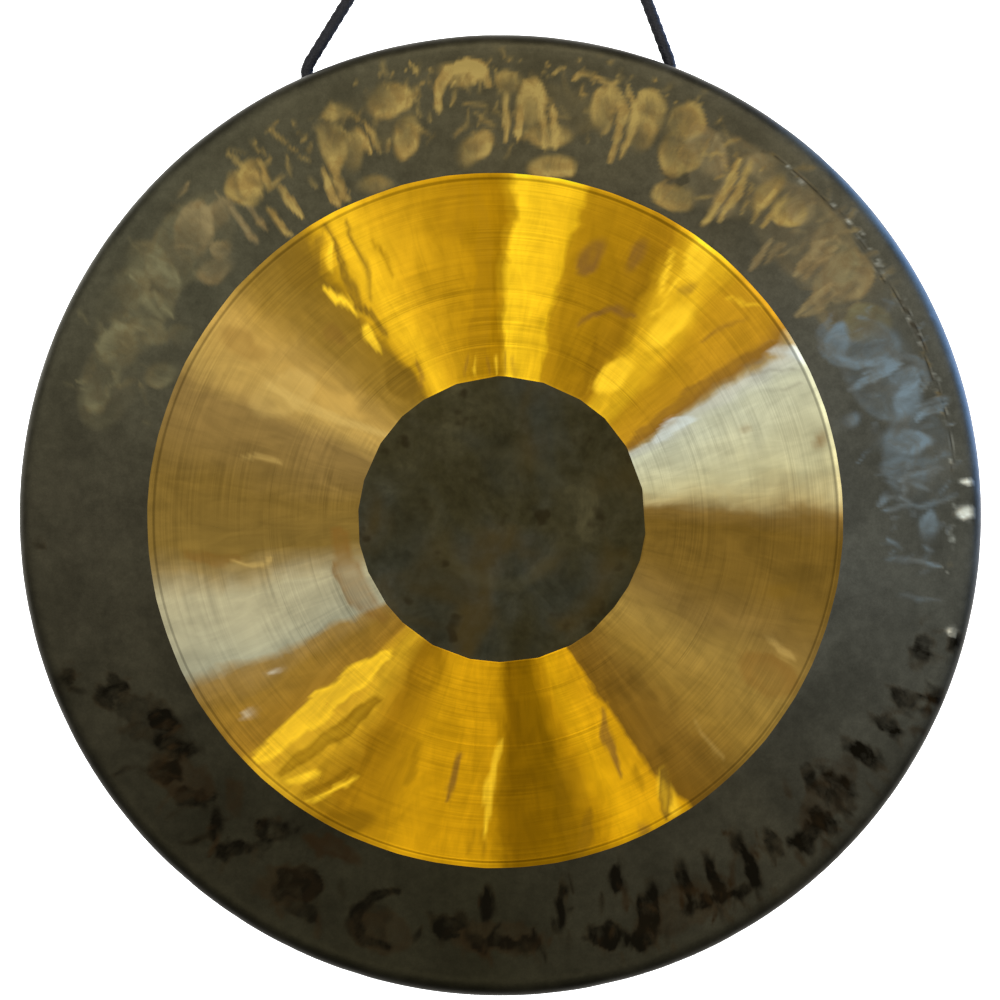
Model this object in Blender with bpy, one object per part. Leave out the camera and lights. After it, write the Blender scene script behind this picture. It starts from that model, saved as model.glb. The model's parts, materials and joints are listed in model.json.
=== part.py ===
"""A hammered bronze tam-tam hung on one braided cord from a steel S-hook.

Metres, +Z up. The origin is where the hook's upper bowl bears on whatever
holds the gong up. The gong's struck face looks along -Y, and the cord, the
hook and both cord holes lie in the plane Y = 0.

The plate is one dish of sheet bronze: a slightly crowned face, a rounded
shoulder and a rim turned back. Its cord holes are drilled through the rim,
behind its balance point, so the plate hangs with its foot a little back. That
tilt is worked out here from the dish's own centre of volume.
"""

from math import atan2, ceil, cos, pi, radians, sin, tan

import bmesh
import bpy
from mathutils import Matrix, Vector

# Gong plate
GONG_RADIUS = 0.280
SHEET = 0.0020
CROWN = 0.006
SHOULDER = 0.012
RIM_DEPTH = 0.038
SPIN_STEPS = 96
CROWN_STEPS = 7
SHOULDER_STEPS = 5

# Cord holes, by their clock angle from the top, clockwise as seen from the front
HOLE_CLOCK = {"left": radians(-25.9), "right": radians(18.6)}
HOLE_DEPTH = 0.025
HOLE_DIAMETER = 0.0085

# Cord and its knots
CORD_DIAMETER = 0.0065
GAP = 0.0003
HANG_DROP = 0.46195
KNOT_DIAMETER = 0.017
KNOT_HEIGHT = 0.014
KNOT_ROUNDING = 0.0045
KNOT_CLEARANCE = 0.0006

# S-hook
HOOK_WIRE = 0.008
HOOK_BEND = 0.015
HOOK_STEP = radians(15)
HOOK_ARC = radians(270)

# The cord's route in the plane Y = 0. Each leg leaves its hole a little more
# upright than the hole's own radius, bends and runs straight on towards the
# point where both legs' lines meet, and one bight over the hook joins them.
# Heights are from ROUTE_LEVEL, the plate's centre to within 0.02 mm.
LEG_LEAN = {"left": radians(29.3), "right": radians(22.4)}
LEG_STEPS = {"left": 4, "right": 3}
LEG_SHARES = (0.02, 0.06, 0.3, 0.6, 0.85, 0.97)
LEGS_MEET = (0.00187, 0.4795)
HOLE_REACH = 0.279
HOLE_SLANT = radians(14)
CORD_BEND = 0.0136
CORD_TUCK = 0.0004
BIGHT_STEPS = 8
ROUTE_LEVEL = -0.510415


def clear_scene():
    for item in list(bpy.data.objects):
        bpy.data.objects.remove(item)


def make_material(name, colour, metallic, roughness):
    material = bpy.data.materials.new(name)
    material.use_nodes = True
    shader = material.node_tree.nodes["Principled BSDF"]
    shader.inputs["Base Color"].default_value = (*colour, 1.0)
    shader.inputs["Metallic"].default_value = metallic
    shader.inputs["Roughness"].default_value = roughness
    return material


def add_object(name, data, material=None, parent=None):
    item = bpy.data.objects.new(name, data)
    bpy.context.scene.collection.objects.link(item)
    item.parent = parent
    if material:
        data.materials.append(material)
    return item


def mesh_from(bm, name, smooth_under=35):
    bmesh.ops.recalc_face_normals(bm, faces=bm.faces)
    mesh = bpy.data.meshes.new(name)
    bm.to_mesh(mesh)
    bm.free()
    mesh.shade_smooth()
    mesh.set_sharp_from_angle(angle=radians(smooth_under))
    return mesh


def crown_points(offset):
    """The face's curve from the centre out, moved back by offset."""
    face_radius = GONG_RADIUS - SHOULDER
    points = []
    for step in range(CROWN_STEPS + 1):
        share = step / CROWN_STEPS
        points.append((face_radius * share, offset - CROWN * (1 + cos(pi * share)) / 2))
    return points


def shoulder_points(radius):
    """The quarter turn from the face into the rim, without its first point."""
    centre = GONG_RADIUS - SHOULDER
    points = []
    for step in range(1, SHOULDER_STEPS + 1):
        turn = pi / 2 * step / SHOULDER_STEPS
        points.append((centre + radius * sin(turn), SHOULDER - radius * cos(turn)))
    return points


def plate_profile():
    """The dish's section as (radius, depth), from the front centre to the back centre."""
    outer = crown_points(0) + shoulder_points(SHOULDER)
    inner = crown_points(SHEET) + shoulder_points(SHOULDER - SHEET)
    outer.append((GONG_RADIUS, RIM_DEPTH))
    inner.append((GONG_RADIUS - SHEET, RIM_DEPTH))
    return outer + inner[::-1]


def balance_depth(profile):
    """How far behind the face's edge the turned solid's centre of volume lies."""
    volume = 0
    moment = 0
    for (r0, y0), (r1, y1) in zip(profile, profile[1:] + profile[:1]):
        cross = r0 * y1 - r1 * y0
        volume += cross * (r0 + r1) / 6
        moment += cross * (r0 * (2 * y0 + y1) + r1 * (y0 + 2 * y1)) / 24
    return moment / volume


def clock_point(clock, radius, depth):
    """A point of the plate's own frame, whose axis is Y and whose face looks along -Y."""
    return Vector((radius * sin(clock), depth, radius * cos(clock)))


def add_empty(name, location, rotation=None):
    empty = add_object(name, None)
    empty.matrix_world = Matrix.Translation(location) @ (rotation or Matrix.Identity(4))
    return empty


def add_rock_axis(profile):
    """The empty on the line through both cord holes, turned by the plate's tilt."""
    radius = GONG_RADIUS - SHEET / 2
    left = clock_point(HOLE_CLOCK["left"], radius, HOLE_DEPTH)
    right = clock_point(HOLE_CLOCK["right"], radius, HOLE_DEPTH)
    middle = (left + right) / 2
    line = (right - left).normalized()
    below = middle - line * middle.dot(line)
    arm = Vector((below.x, 0, below.z)).length
    tilt = atan2(HOLE_DEPTH - balance_depth(profile), arm)
    centre_height = CORD_TOP - HANG_DROP
    location = Vector((middle.x, 0, centre_height + middle.z))
    empty = add_empty("gong_rock_axis", location, Matrix.Rotation(tilt, 4, line))
    return empty, -middle


def add_plate(profile, rock_axis, centre):
    bm = bmesh.new()
    corners = [bm.verts.new((radius, depth, 0)) for radius, depth in profile]
    edges = [bm.edges.new(pair) for pair in zip(corners, corners[1:])]
    bmesh.ops.spin(
        bm,
        geom=corners + edges,
        cent=(0, 0, 0),
        axis=(0, 1, 0),
        angle=2 * pi,
        steps=SPIN_STEPS,
        use_merge=True,
    )
    bmesh.ops.remove_doubles(bm, verts=bm.verts, dist=0.00001)
    bronze = make_material("hammered_bronze", (0.42, 0.29, 0.09), 1.0, 0.38)
    plate = add_object("gong_plate", mesh_from(bm, "gong_plate"), bronze, rock_axis)
    plate.location = centre
    for side in HOLE_CLOCK:
        drill = plate.modifiers.new(f"{side}_cord_hole", "BOOLEAN")
        drill.object = add_hole_cutter(side, rock_axis, centre)
    return plate


def add_hole_cutter(side, rock_axis, centre):
    bm = bmesh.new()
    bmesh.ops.create_cone(
        bm,
        cap_ends=True,
        segments=24,
        radius1=HOLE_DIAMETER / 2,
        radius2=HOLE_DIAMETER / 2,
        depth=HOLE_DIAMETER,
    )
    cutter = add_object(f"{side}_hole_cutter", mesh_from(bm, f"{side}_hole_cutter"), None, rock_axis)
    cutter.location = centre + clock_point(HOLE_CLOCK[side], GONG_RADIUS - SHEET / 2, HOLE_DEPTH)
    cutter.rotation_euler = (0, HOLE_CLOCK[side], 0)
    cutter.hide_render = True
    cutter.display_type = "WIRE"
    return cutter


def add_knot(side, rock_axis, centre, material):
    """The stopper knot under the rim, as the rounded barrel that the knotted cord fills."""
    bm = bmesh.new()
    bmesh.ops.create_cone(
        bm,
        cap_ends=True,
        segments=20,
        radius1=KNOT_DIAMETER / 2,
        radius2=KNOT_DIAMETER / 2,
        depth=KNOT_HEIGHT,
    )
    rims = [edge for edge in bm.edges if any(len(face.verts) > 4 for face in edge.link_faces)]
    bmesh.ops.bevel(
        bm, geom=rims, offset=KNOT_ROUNDING, segments=4, profile=0.5, affect="EDGES"
    )
    name = f"{side}_stopper_knot"
    knot = add_object(name, mesh_from(bm, name, 60), material, rock_axis)
    radius = GONG_RADIUS - SHEET - KNOT_CLEARANCE - KNOT_HEIGHT / 2
    knot.location = centre + clock_point(HOLE_CLOCK[side], radius, HOLE_DEPTH)
    knot.rotation_euler = (0, HOLE_CLOCK[side], 0)
    return knot


def spline_point(p0, p1, p2, p3, share):
    """A point between p1 and p2 of the centripetal curve through all four."""
    t1 = (p1 - p0).length ** 0.5
    t2 = t1 + (p2 - p1).length ** 0.5
    t3 = t2 + (p3 - p2).length ** 0.5
    t = t1 + (t2 - t1) * share
    a1 = p0.lerp(p1, t / t1)
    a2 = p1.lerp(p2, (t - t1) / (t2 - t1))
    a3 = p2.lerp(p3, (t - t2) / (t3 - t2))
    b1 = a1.lerp(a2, t / t2)
    b2 = a2.lerp(a3, (t - t1) / (t3 - t1))
    return b1.lerp(b2, (t - t1) / (t2 - t1))


def leg_bend(side, clock):
    """One leg's points from inside its hole to the end of its bend, as (x, z)."""
    mirror = 1 if side == "left" else -1
    start = HOLE_SLANT - abs(clock)
    lean = LEG_LEAN[side]
    turn = lean - start
    hole_x = -HOLE_REACH * sin(abs(clock))
    hole_z = HOLE_REACH * cos(clock)
    across = (mirror * LEGS_MEET[0] - hole_x) * cos(lean)
    away = abs(across - (LEGS_MEET[1] - hole_z) * sin(lean))
    run = away / sin(turn) - CORD_BEND * tan(turn / 2)
    middle_x = hole_x + run * sin(start) + CORD_BEND * cos(start)
    middle_z = hole_z + run * cos(start) - CORD_BEND * sin(start)
    points = [(hole_x - CORD_TUCK * sin(start), hole_z - CORD_TUCK * cos(start))]
    for step in range(0 if run > 0 else 1, LEG_STEPS[side] + 1):
        angle = start + turn * step / LEG_STEPS[side]
        points.append((middle_x - CORD_BEND * cos(angle), middle_z + CORD_BEND * sin(angle)))
    return [(mirror * x, z) for x, z in points]


def straight_leg(start, end):
    return [(start[0] + (end[0] - start[0]) * share, start[1] + (end[1] - start[1]) * share)
            for share in LEG_SHARES]


def cord_route(clocks):
    """The cord's centreline as (x, z), from the left hole over the hook to the right hole."""
    first, last = pi - LEG_LEAN["left"], LEG_LEAN["right"]
    reach = CORD_BEND / sin((LEG_LEAN["left"] + LEG_LEAN["right"]) / 2)
    tilt = (LEG_LEAN["right"] - LEG_LEAN["left"]) / 2
    middle_x = LEGS_MEET[0] + reach * sin(tilt)
    middle_z = LEGS_MEET[1] - reach * cos(tilt)
    bight = []
    for step in range(BIGHT_STEPS + 1):
        angle = first + (last - first) * step / BIGHT_STEPS
        bight.append((middle_x + CORD_BEND * cos(angle), middle_z + CORD_BEND * sin(angle)))
    left = leg_bend("left", clocks["left"])
    right = leg_bend("right", clocks["right"])
    left += straight_leg(left[-1], bight[0])
    right += straight_leg(right[-1], bight[-1])
    return [(round(x, 5), round(z + ROUTE_LEVEL, 5)) for x, z in left + bight + right[::-1]]


def smooth_route(route, longest_step):
    """Points along one smooth curve through the route's own points."""
    points = [Vector((x, 0, z)) for x, z in route]
    ends = [points[0] * 2 - points[1], *points, points[-1] * 2 - points[-2]]
    curve = []
    for p0, p1, p2, p3 in zip(ends, ends[1:], ends[2:], ends[3:]):
        steps = ceil((p2 - p1).length / longest_step)
        curve += [spline_point(p0, p1, p2, p3, step / steps) for step in range(steps)]
    return curve + [points[-1]]


def add_tube(name, points, diameter, sides_level, material, parent=None):
    """A round bar along the points, which are in its parent's own frame."""
    curve = bpy.data.curves.new(name, "CURVE")
    curve.dimensions = "3D"
    curve.bevel_depth = diameter / 2
    curve.bevel_resolution = sides_level
    curve.use_fill_caps = True
    spline = curve.splines.new("POLY")
    spline.points.add(len(points) - 1)
    for target, point in zip(spline.points, points):
        target.co = (*point, 1)
    return add_object(name, curve, material, parent)


def add_hook():
    """Two round bowls in one wire, each open on its own side, in the plane X = 0."""
    steel = make_material("hook_steel", (0.56, 0.57, 0.58), 1.0, 0.3)
    upper = -(HOOK_BEND - HOOK_WIRE / 2)
    lower = upper - 2 * HOOK_BEND
    steps = round(HOOK_ARC / HOOK_STEP)
    points = []
    for step in range(steps + 1):
        turn = HOOK_STEP * step
        points.append(Vector((0, HOOK_BEND * cos(turn), upper + HOOK_BEND * sin(turn))))
    for step in range(1, steps + 1):
        turn = pi / 2 - HOOK_STEP * step
        points.append(Vector((0, HOOK_BEND * cos(turn), lower + HOOK_BEND * sin(turn))))
    add_tube("hanging_hook", points, HOOK_WIRE, 3, steel)
    return lower


def add_cord(swing_height, material):
    swing_axis = add_empty("cord_swing_axis", Vector((0, 0, swing_height)))
    points = smooth_route(cord_route(HOLE_CLOCK), 2.5 * CORD_DIAMETER)
    local = [point - swing_axis.location for point in points]
    add_tube("hanging_cord", local, CORD_DIAMETER, 2, material, swing_axis)


# The cord's highest centreline point: it lies in the hook's lower bowl
CORD_TOP = -(4 * HOOK_BEND - HOOK_WIRE) + CORD_DIAMETER / 2 + GAP


def build():
    clear_scene()
    cord_black = make_material("cord_black", (0.012, 0.012, 0.014), 0.0, 0.6)
    knot_black = make_material("knot_black", (0.014, 0.014, 0.016), 0.0, 0.6)
    profile = plate_profile()
    rock_axis, centre = add_rock_axis(profile)
    add_plate(profile, rock_axis, centre)
    for side in HOLE_CLOCK:
        add_knot(side, rock_axis, centre, knot_black)
    swing_height = add_hook()
    add_cord(swing_height, cord_black)


build()
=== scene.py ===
"""The looks of a hammered bronze tam-tam on its braided cord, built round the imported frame.

The plate is one dense turned mesh in its own frame: its axis is Y, its face
looks along -Y, and places on it are given as a clock angle in degrees from the
top, clockwise as seen from the front, and a radius in millimetres. Everything
else is in metres in the row frame.
"""

import json
from math import cos, pi, radians, sin, tan

import bpy
import numpy as np
from mathutils import Matrix, Vector

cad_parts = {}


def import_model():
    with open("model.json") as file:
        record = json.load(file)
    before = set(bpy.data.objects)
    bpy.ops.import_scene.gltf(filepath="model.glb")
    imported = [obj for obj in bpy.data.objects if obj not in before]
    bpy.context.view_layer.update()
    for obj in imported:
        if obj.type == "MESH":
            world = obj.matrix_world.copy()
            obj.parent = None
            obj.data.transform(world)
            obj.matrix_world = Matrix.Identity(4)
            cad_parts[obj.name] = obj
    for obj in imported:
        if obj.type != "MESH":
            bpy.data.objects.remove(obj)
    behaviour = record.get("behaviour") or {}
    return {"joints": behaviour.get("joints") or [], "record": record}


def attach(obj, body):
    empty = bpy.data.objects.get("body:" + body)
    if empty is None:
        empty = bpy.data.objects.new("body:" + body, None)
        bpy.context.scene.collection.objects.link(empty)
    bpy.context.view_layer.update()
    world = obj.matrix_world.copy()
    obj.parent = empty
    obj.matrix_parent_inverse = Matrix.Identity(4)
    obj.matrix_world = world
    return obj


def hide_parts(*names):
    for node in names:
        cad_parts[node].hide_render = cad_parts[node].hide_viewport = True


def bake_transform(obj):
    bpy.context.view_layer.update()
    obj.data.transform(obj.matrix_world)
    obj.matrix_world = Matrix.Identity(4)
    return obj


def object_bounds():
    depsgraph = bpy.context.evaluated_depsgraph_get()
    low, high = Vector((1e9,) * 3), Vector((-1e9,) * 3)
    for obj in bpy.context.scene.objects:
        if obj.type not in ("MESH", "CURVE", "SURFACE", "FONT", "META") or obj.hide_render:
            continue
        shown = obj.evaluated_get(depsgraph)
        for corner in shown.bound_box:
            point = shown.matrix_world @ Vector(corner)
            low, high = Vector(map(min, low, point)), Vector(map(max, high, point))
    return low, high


MM = 0.001

# The plate, as the frame has it, in millimetres
RADIUS = 280.0
SHEET = 2.0
CROWN = 6.0
SHOULDER = 12.0
RIM_DEPTH = 38.0
HOLE_CLOCK = {"left": -25.9, "right": 18.6}
HOLE_DEPTH = 25.0
HOLE_RADIUS = 4.25
KNOT_RADIUS = 270.4

# The turned ring between the dark rim and the dark disc, in millimetres
DISC_EDGE = 82.6
RING_EDGE = 201.1
RECESS = 0.22
DISC_SHIFT = (0.6, 0.0)
RING_SHIFT = (-2.9, -1.6)
STRONG_GROOVES = (102.0, 132.4)
EDGE_GROOVE = 197.9

# Steps round the plate in each part of its mesh
FINE = 1080
MIDDLE = 540
COARSE = 270
HOLE_HALF_SPAN = 3

# Random marks: how many, and the clock angle past which a black oval has dark streaks
WISPS = 330
DARK_STREAKS_PER_OVAL = 6
DARK_STREAK_CLOCK = 104
SHOULDER_GRAINS = 80
TOP_GRAINS = 60
FACE_WAVES = 26

# Dents on a band of the rim that is DENT_BAND mm wide
DENTS = 700
DENT_BAND = 85

# The cord, in metres
CORD = 0.0065
BRAID_STRANDS = 8
BRAID_PITCH = 0.017

# The hook, in metres: one rod in two bowls, centred on these heights
HOOK_WIRE = 0.008
HOOK_BEND = 0.015
HOOK_UPPER = -0.011
HOOK_LOWER = -0.041

# Camera: looks slightly up at the plate from just below its axis, turned as the photograph is
CAMERA_DISTANCE = 2.0
CAMERA_PITCH = 2.1
CAMERA_ROLL = 2.1
VIEW_WIDTH = 0.5788
CAMERA_RISE = 0.0111
CAMERA_SIDE = -0.0008
SENSOR = 36.0

# The round studio floor and its wall, in metres
STAGE_RADIUS = 4.2
STAGE_BEND = 0.9
STAGE_HEIGHT = 5.0
STAGE_DROP = 0.9
STAGE_STEPS = 72

# The cord's route in the plane Y = 0. Each leg leaves its hole a little more
# upright than the hole's own radius, bends and runs straight on towards the
# point where both legs' lines meet, and one bight over the hook joins them.
# Heights are from ROUTE_LEVEL, the plate's centre to within 0.02 mm.
LEG_LEAN = {"left": radians(29.3), "right": radians(22.4)}
LEG_STEPS = {"left": 4, "right": 3}
LEG_SHARES = (0.02, 0.06, 0.3, 0.6, 0.85, 0.97)
LEGS_MEET = (0.00187, 0.4795)
HOLE_REACH = 0.279
HOLE_SLANT = radians(14)
CORD_BEND = 0.0136
CORD_TUCK = 0.0004
BIGHT_STEPS = 8
ROUTE_LEVEL = -0.510415


def srgb(red, green, blue):
    """A linear colour from the usual 0 to 255 values."""
    shares = [value / 255 for value in (red, green, blue)]
    return tuple(v / 12.92 if v < 0.04045 else ((v + 0.055) / 1.055) ** 2.4 for v in shares)


# Tones of the marks. On the rim each tone goes with a side: partly the bare metal's own colour, partly
# painted reflection and painted shade (gold at the top, blue on the right, black at the bottom). The ring's
# tones are painted reflections.
TONES = {
    "gold": srgb(154, 133, 76),
    "tan": srgb(134, 120, 84),
    "olive": srgb(112, 108, 80),
    "blue": srgb(106, 122, 132),
    "cream": srgb(214, 222, 214),
    "black": srgb(15, 13, 8),
    "brown": srgb(36, 27, 15),
    "dark": srgb(44, 42, 30),
    "ring_brown": srgb(118, 84, 34),
    "ring_dark": srgb(130, 94, 12),
    "ring_olive": srgb(116, 88, 26),
    "ring_mid": srgb(158, 116, 14),
    "ring_bright": srgb(248, 202, 44),
    "ring_tan": srgb(198, 168, 96),
    "ring_cream": srgb(196, 190, 170),
    "ring_white": srgb(198, 208, 206),
    "ring_grey": srgb(112, 106, 92),
}
# Dark tones: on the lower rim they paint the dents dark with what they reflect there (painted shade); the
# thin black strokes under the right edge are cracks.
DARK_TONES = ("black", "brown", "dark")

# Hammer marks that took the oxide off the rim, toned by side with painted reflection and painted shade: gold
# at the top, blue on the right, olive on the left, black at the bottom:
# tone, clock, radius, length, width, turn of the long axis from the radius, strength
OVALS = [
    # These first large faint ovals paint a broad glow on each side of the rim: painted light, warm at the top
    # and blue on the right.
    ("tan", 31, 238, 62, 46, 90, 0.24),
    ("tan", 45, 240, 78, 46, 90, 0.32),
    ("tan", 56, 238, 50, 44, 90, 0.3),
    ("blue", 66, 236, 66, 44, 90, 0.2),
    ("blue", 80, 244, 70, 40, 90, 0.24),
    ("olive", -50, 240, 66, 40, 90, 0.36),
    ("olive", -62, 244, 72, 40, 90, 0.34),
    ("olive", -73, 240, 56, 34, 90, 0.2),
    ("gold", 3, 236, 70, 34, 90, 0.08),
    ("gold", -20, 242, 54, 34, 90, 0.08),
    ("gold", -26, 239, 33, 15, 15, 0.7),
    ("gold", -24, 229, 26, 13, 30, 0.45),
    ("gold", -17, 250, 27, 20, 85, 0.95),
    ("gold", -16, 227, 26, 16, 20, 0.85),
    ("gold", -23, 206, 21, 10, -70, 0.6),
    ("gold", -24, 253, 17, 9, -80, 0.7),
    ("gold", -6, 215, 24, 15, 55, 0.95),
    ("gold", -7, 258, 29, 15, 90, 0.9),
    ("gold", -1, 252, 17, 14, -70, 0.6),
    ("gold", 2, 240, 30, 15, 5, 0.9),
    ("gold", 5, 223, 26, 14, 90, 0.8),
    ("gold", 6, 205, 26, 14, 80, 0.85),
    ("gold", 12, 245, 27, 15, -5, 0.95),
    ("gold", 18, 249, 29, 19, -20, 0.75),
    ("gold", 18, 236, 23, 17, 10, 0.45),
    ("gold", 23, 253, 23, 21, -75, 0.6),
    ("gold", 24, 237, 31, 26, -5, 0.6),
    ("gold", 26, 211, 27, 17, 70, 0.7),
    ("tan", 27, 244, 33, 21, -60, 0.55),
    ("dark", 25, 222, 17, 13, 65, 0.3),
    ("tan", 33, 231, 35, 15, -5, 0.45),
    ("tan", 35, 253, 23, 17, 85, 0.4),
    ("gold", 37, 244, 27, 12, 0, 0.6),
    ("gold", 41, 244, 20, 20, -5, 0.7),
    ("tan", 42, 251, 23, 17, -15, 0.5),
    ("tan", 48, 249, 28, 23, -10, 0.5),
    ("tan", 53, 245, 31, 27, -15, 0.6),
    ("olive", 51, 245, 23, 21, -55, 0.4),
    ("olive", 60, 241, 29, 24, 50, 0.55),
    ("blue", 60, 221, 23, 16, -45, 0.7),
    ("blue", 62, 234, 43, 30, 35, 0.45),
    ("blue", 69, 246, 23, 17, -10, 0.6),
    ("blue", 72, 245, 26, 17, -75, 0.7),
    ("blue", 77, 237, 33, 15, 10, 0.8),
    ("blue", 81, 238, 35, 17, 5, 0.4),
    ("blue", 72, 209, 14, 8, -5, 0.7),
    ("blue", 89, 248, 19, 12, 90, 0.6),
    # Painted highlights: the cream spots are glints on small drops; the black dots beside them are dark
    # spots.
    ("cream", 87, 269, 9, 8, 0, 1.0),
    ("cream", 83, 271, 5, 3, 0, 0.9),
    ("black", 103, 272, 11, 8, -45, 1.0),
    ("cream", 102, 269, 4, 4, -15, 0.9),
    ("black", 110, 272, 12, 8, 0, 1.0),
    ("gold", -38, 243, 23, 20, 55, 0.85),
    ("gold", -40, 241, 23, 21, -30, 0.7),
    ("tan", -45, 240, 20, 15, 75, 0.5),
    ("tan", -49, 243, 38, 24, 65, 0.6),
    ("tan", -48, 224, 14, 12, -45, 0.5),
    ("tan", -51, 219, 23, 14, -70, 0.45),
    ("olive", -56, 254, 26, 23, -15, 0.6),
    ("olive", -60, 251, 24, 23, 70, 0.55),
    ("olive", -64, 244, 21, 17, -30, 0.45),
    ("olive", -68, 242, 27, 23, 65, 0.6),
    ("olive", -75, 244, 23, 17, 75, 0.35),
    ("olive", -69, 213, 22, 14, -35, 0.6),
    ("olive", -64, 232, 26, 17, -10, 0.4),
    ("olive", -60, 234, 17, 12, -10, 0.5),
    ("olive", -62, 213, 17, 12, 0, 0.3),
    ("black", -95, 268, 8, 6, 5, 0.4),
    ("black", -112, 267, 9, 7, 20, 0.5),
    ("black", -116, 247, 21, 16, -35, 0.6),
    ("black", -123, 228, 17, 15, 30, 0.85),
    ("black", -127, 229, 26, 10, 55, 0.9),
    ("black", -129, 245, 23, 14, 45, 0.75),
    ("black", -134, 242, 20, 13, 60, 0.6),
    ("black", -139, 243, 19, 9, -35, 0.9),
    ("black", -143, 247, 21, 10, 40, 0.85),
    ("black", -145, 228, 17, 8, -30, 0.8),
    ("black", -147, 219, 17, 9, 75, 0.6),
    ("black", -153, 243, 31, 21, 60, 0.75),
    ("black", -155, 255, 23, 12, 75, 0.5),
    ("black", -164, 247, 27, 26, -20, 0.35),
    ("black", -175, 238, 21, 14, 80, 0.85),
    ("black", -180, 246, 26, 10, -80, 0.9),
    ("black", 175, 248, 23, 9, -85, 0.95),
    ("black", 169, 229, 34, 8, 10, 0.9),
    ("black", -180, 226, 24, 7, 0, 0.85),
    ("black", 160, 219, 21, 7, 25, 0.8),
    ("black", 164, 250, 23, 15, -85, 0.85),
    ("black", 157, 244, 38, 14, 25, 0.9),
    ("black", 159, 258, 21, 13, 90, 0.7),
    ("black", 151, 238, 29, 8, 10, 0.85),
    ("black", 147, 240, 29, 8, 5, 0.85),
    ("black", 150, 253, 29, 9, -80, 0.8),
    ("black", 142, 243, 35, 9, 10, 0.85),
    ("black", 145, 258, 20, 8, -85, 0.7),
    ("black", 138, 248, 20, 8, 0, 0.6),
    ("black", 134, 256, 20, 12, -85, 0.7),
    ("black", 131, 256, 23, 9, 0, 0.7),
    ("black", 135, 257, 17, 10, -15, 0.55),
    ("black", 126, 249, 27, 9, 0, 0.65),
    ("black", 128, 235, 23, 8, 10, 0.6),
    ("black", 121, 251, 27, 10, 5, 0.7),
    ("black", 116, 254, 23, 9, 5, 0.65),
    ("black", 112, 255, 20, 10, 15, 0.6),
    ("black", 105, 256, 20, 14, -85, 0.55),
    ("black", 128, 253, 29, 8, 0, 0.6),
    ("brown", -155, 215, 35, 13, 85, 0.6),
    ("brown", -138, 223, 23, 10, -45, 0.35),
    ("black", -122, 234, 42, 26, 55, 0.3),
    ("brown", -131, 238, 44, 24, 70, 0.4),
    ("brown", -152, 246, 40, 24, 60, 0.35),
    # Large faint brown ovals darken the bottom of the rim: painted shade.
    ("brown", 128, 248, 52, 22, 85, 0.3),
    ("brown", 153, 250, 60, 26, 90, 0.3),
    ("brown", 178, 244, 56, 20, 90, 0.3),
    ("brown", -166, 250, 40, 24, 90, 0.3),
]
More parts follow.
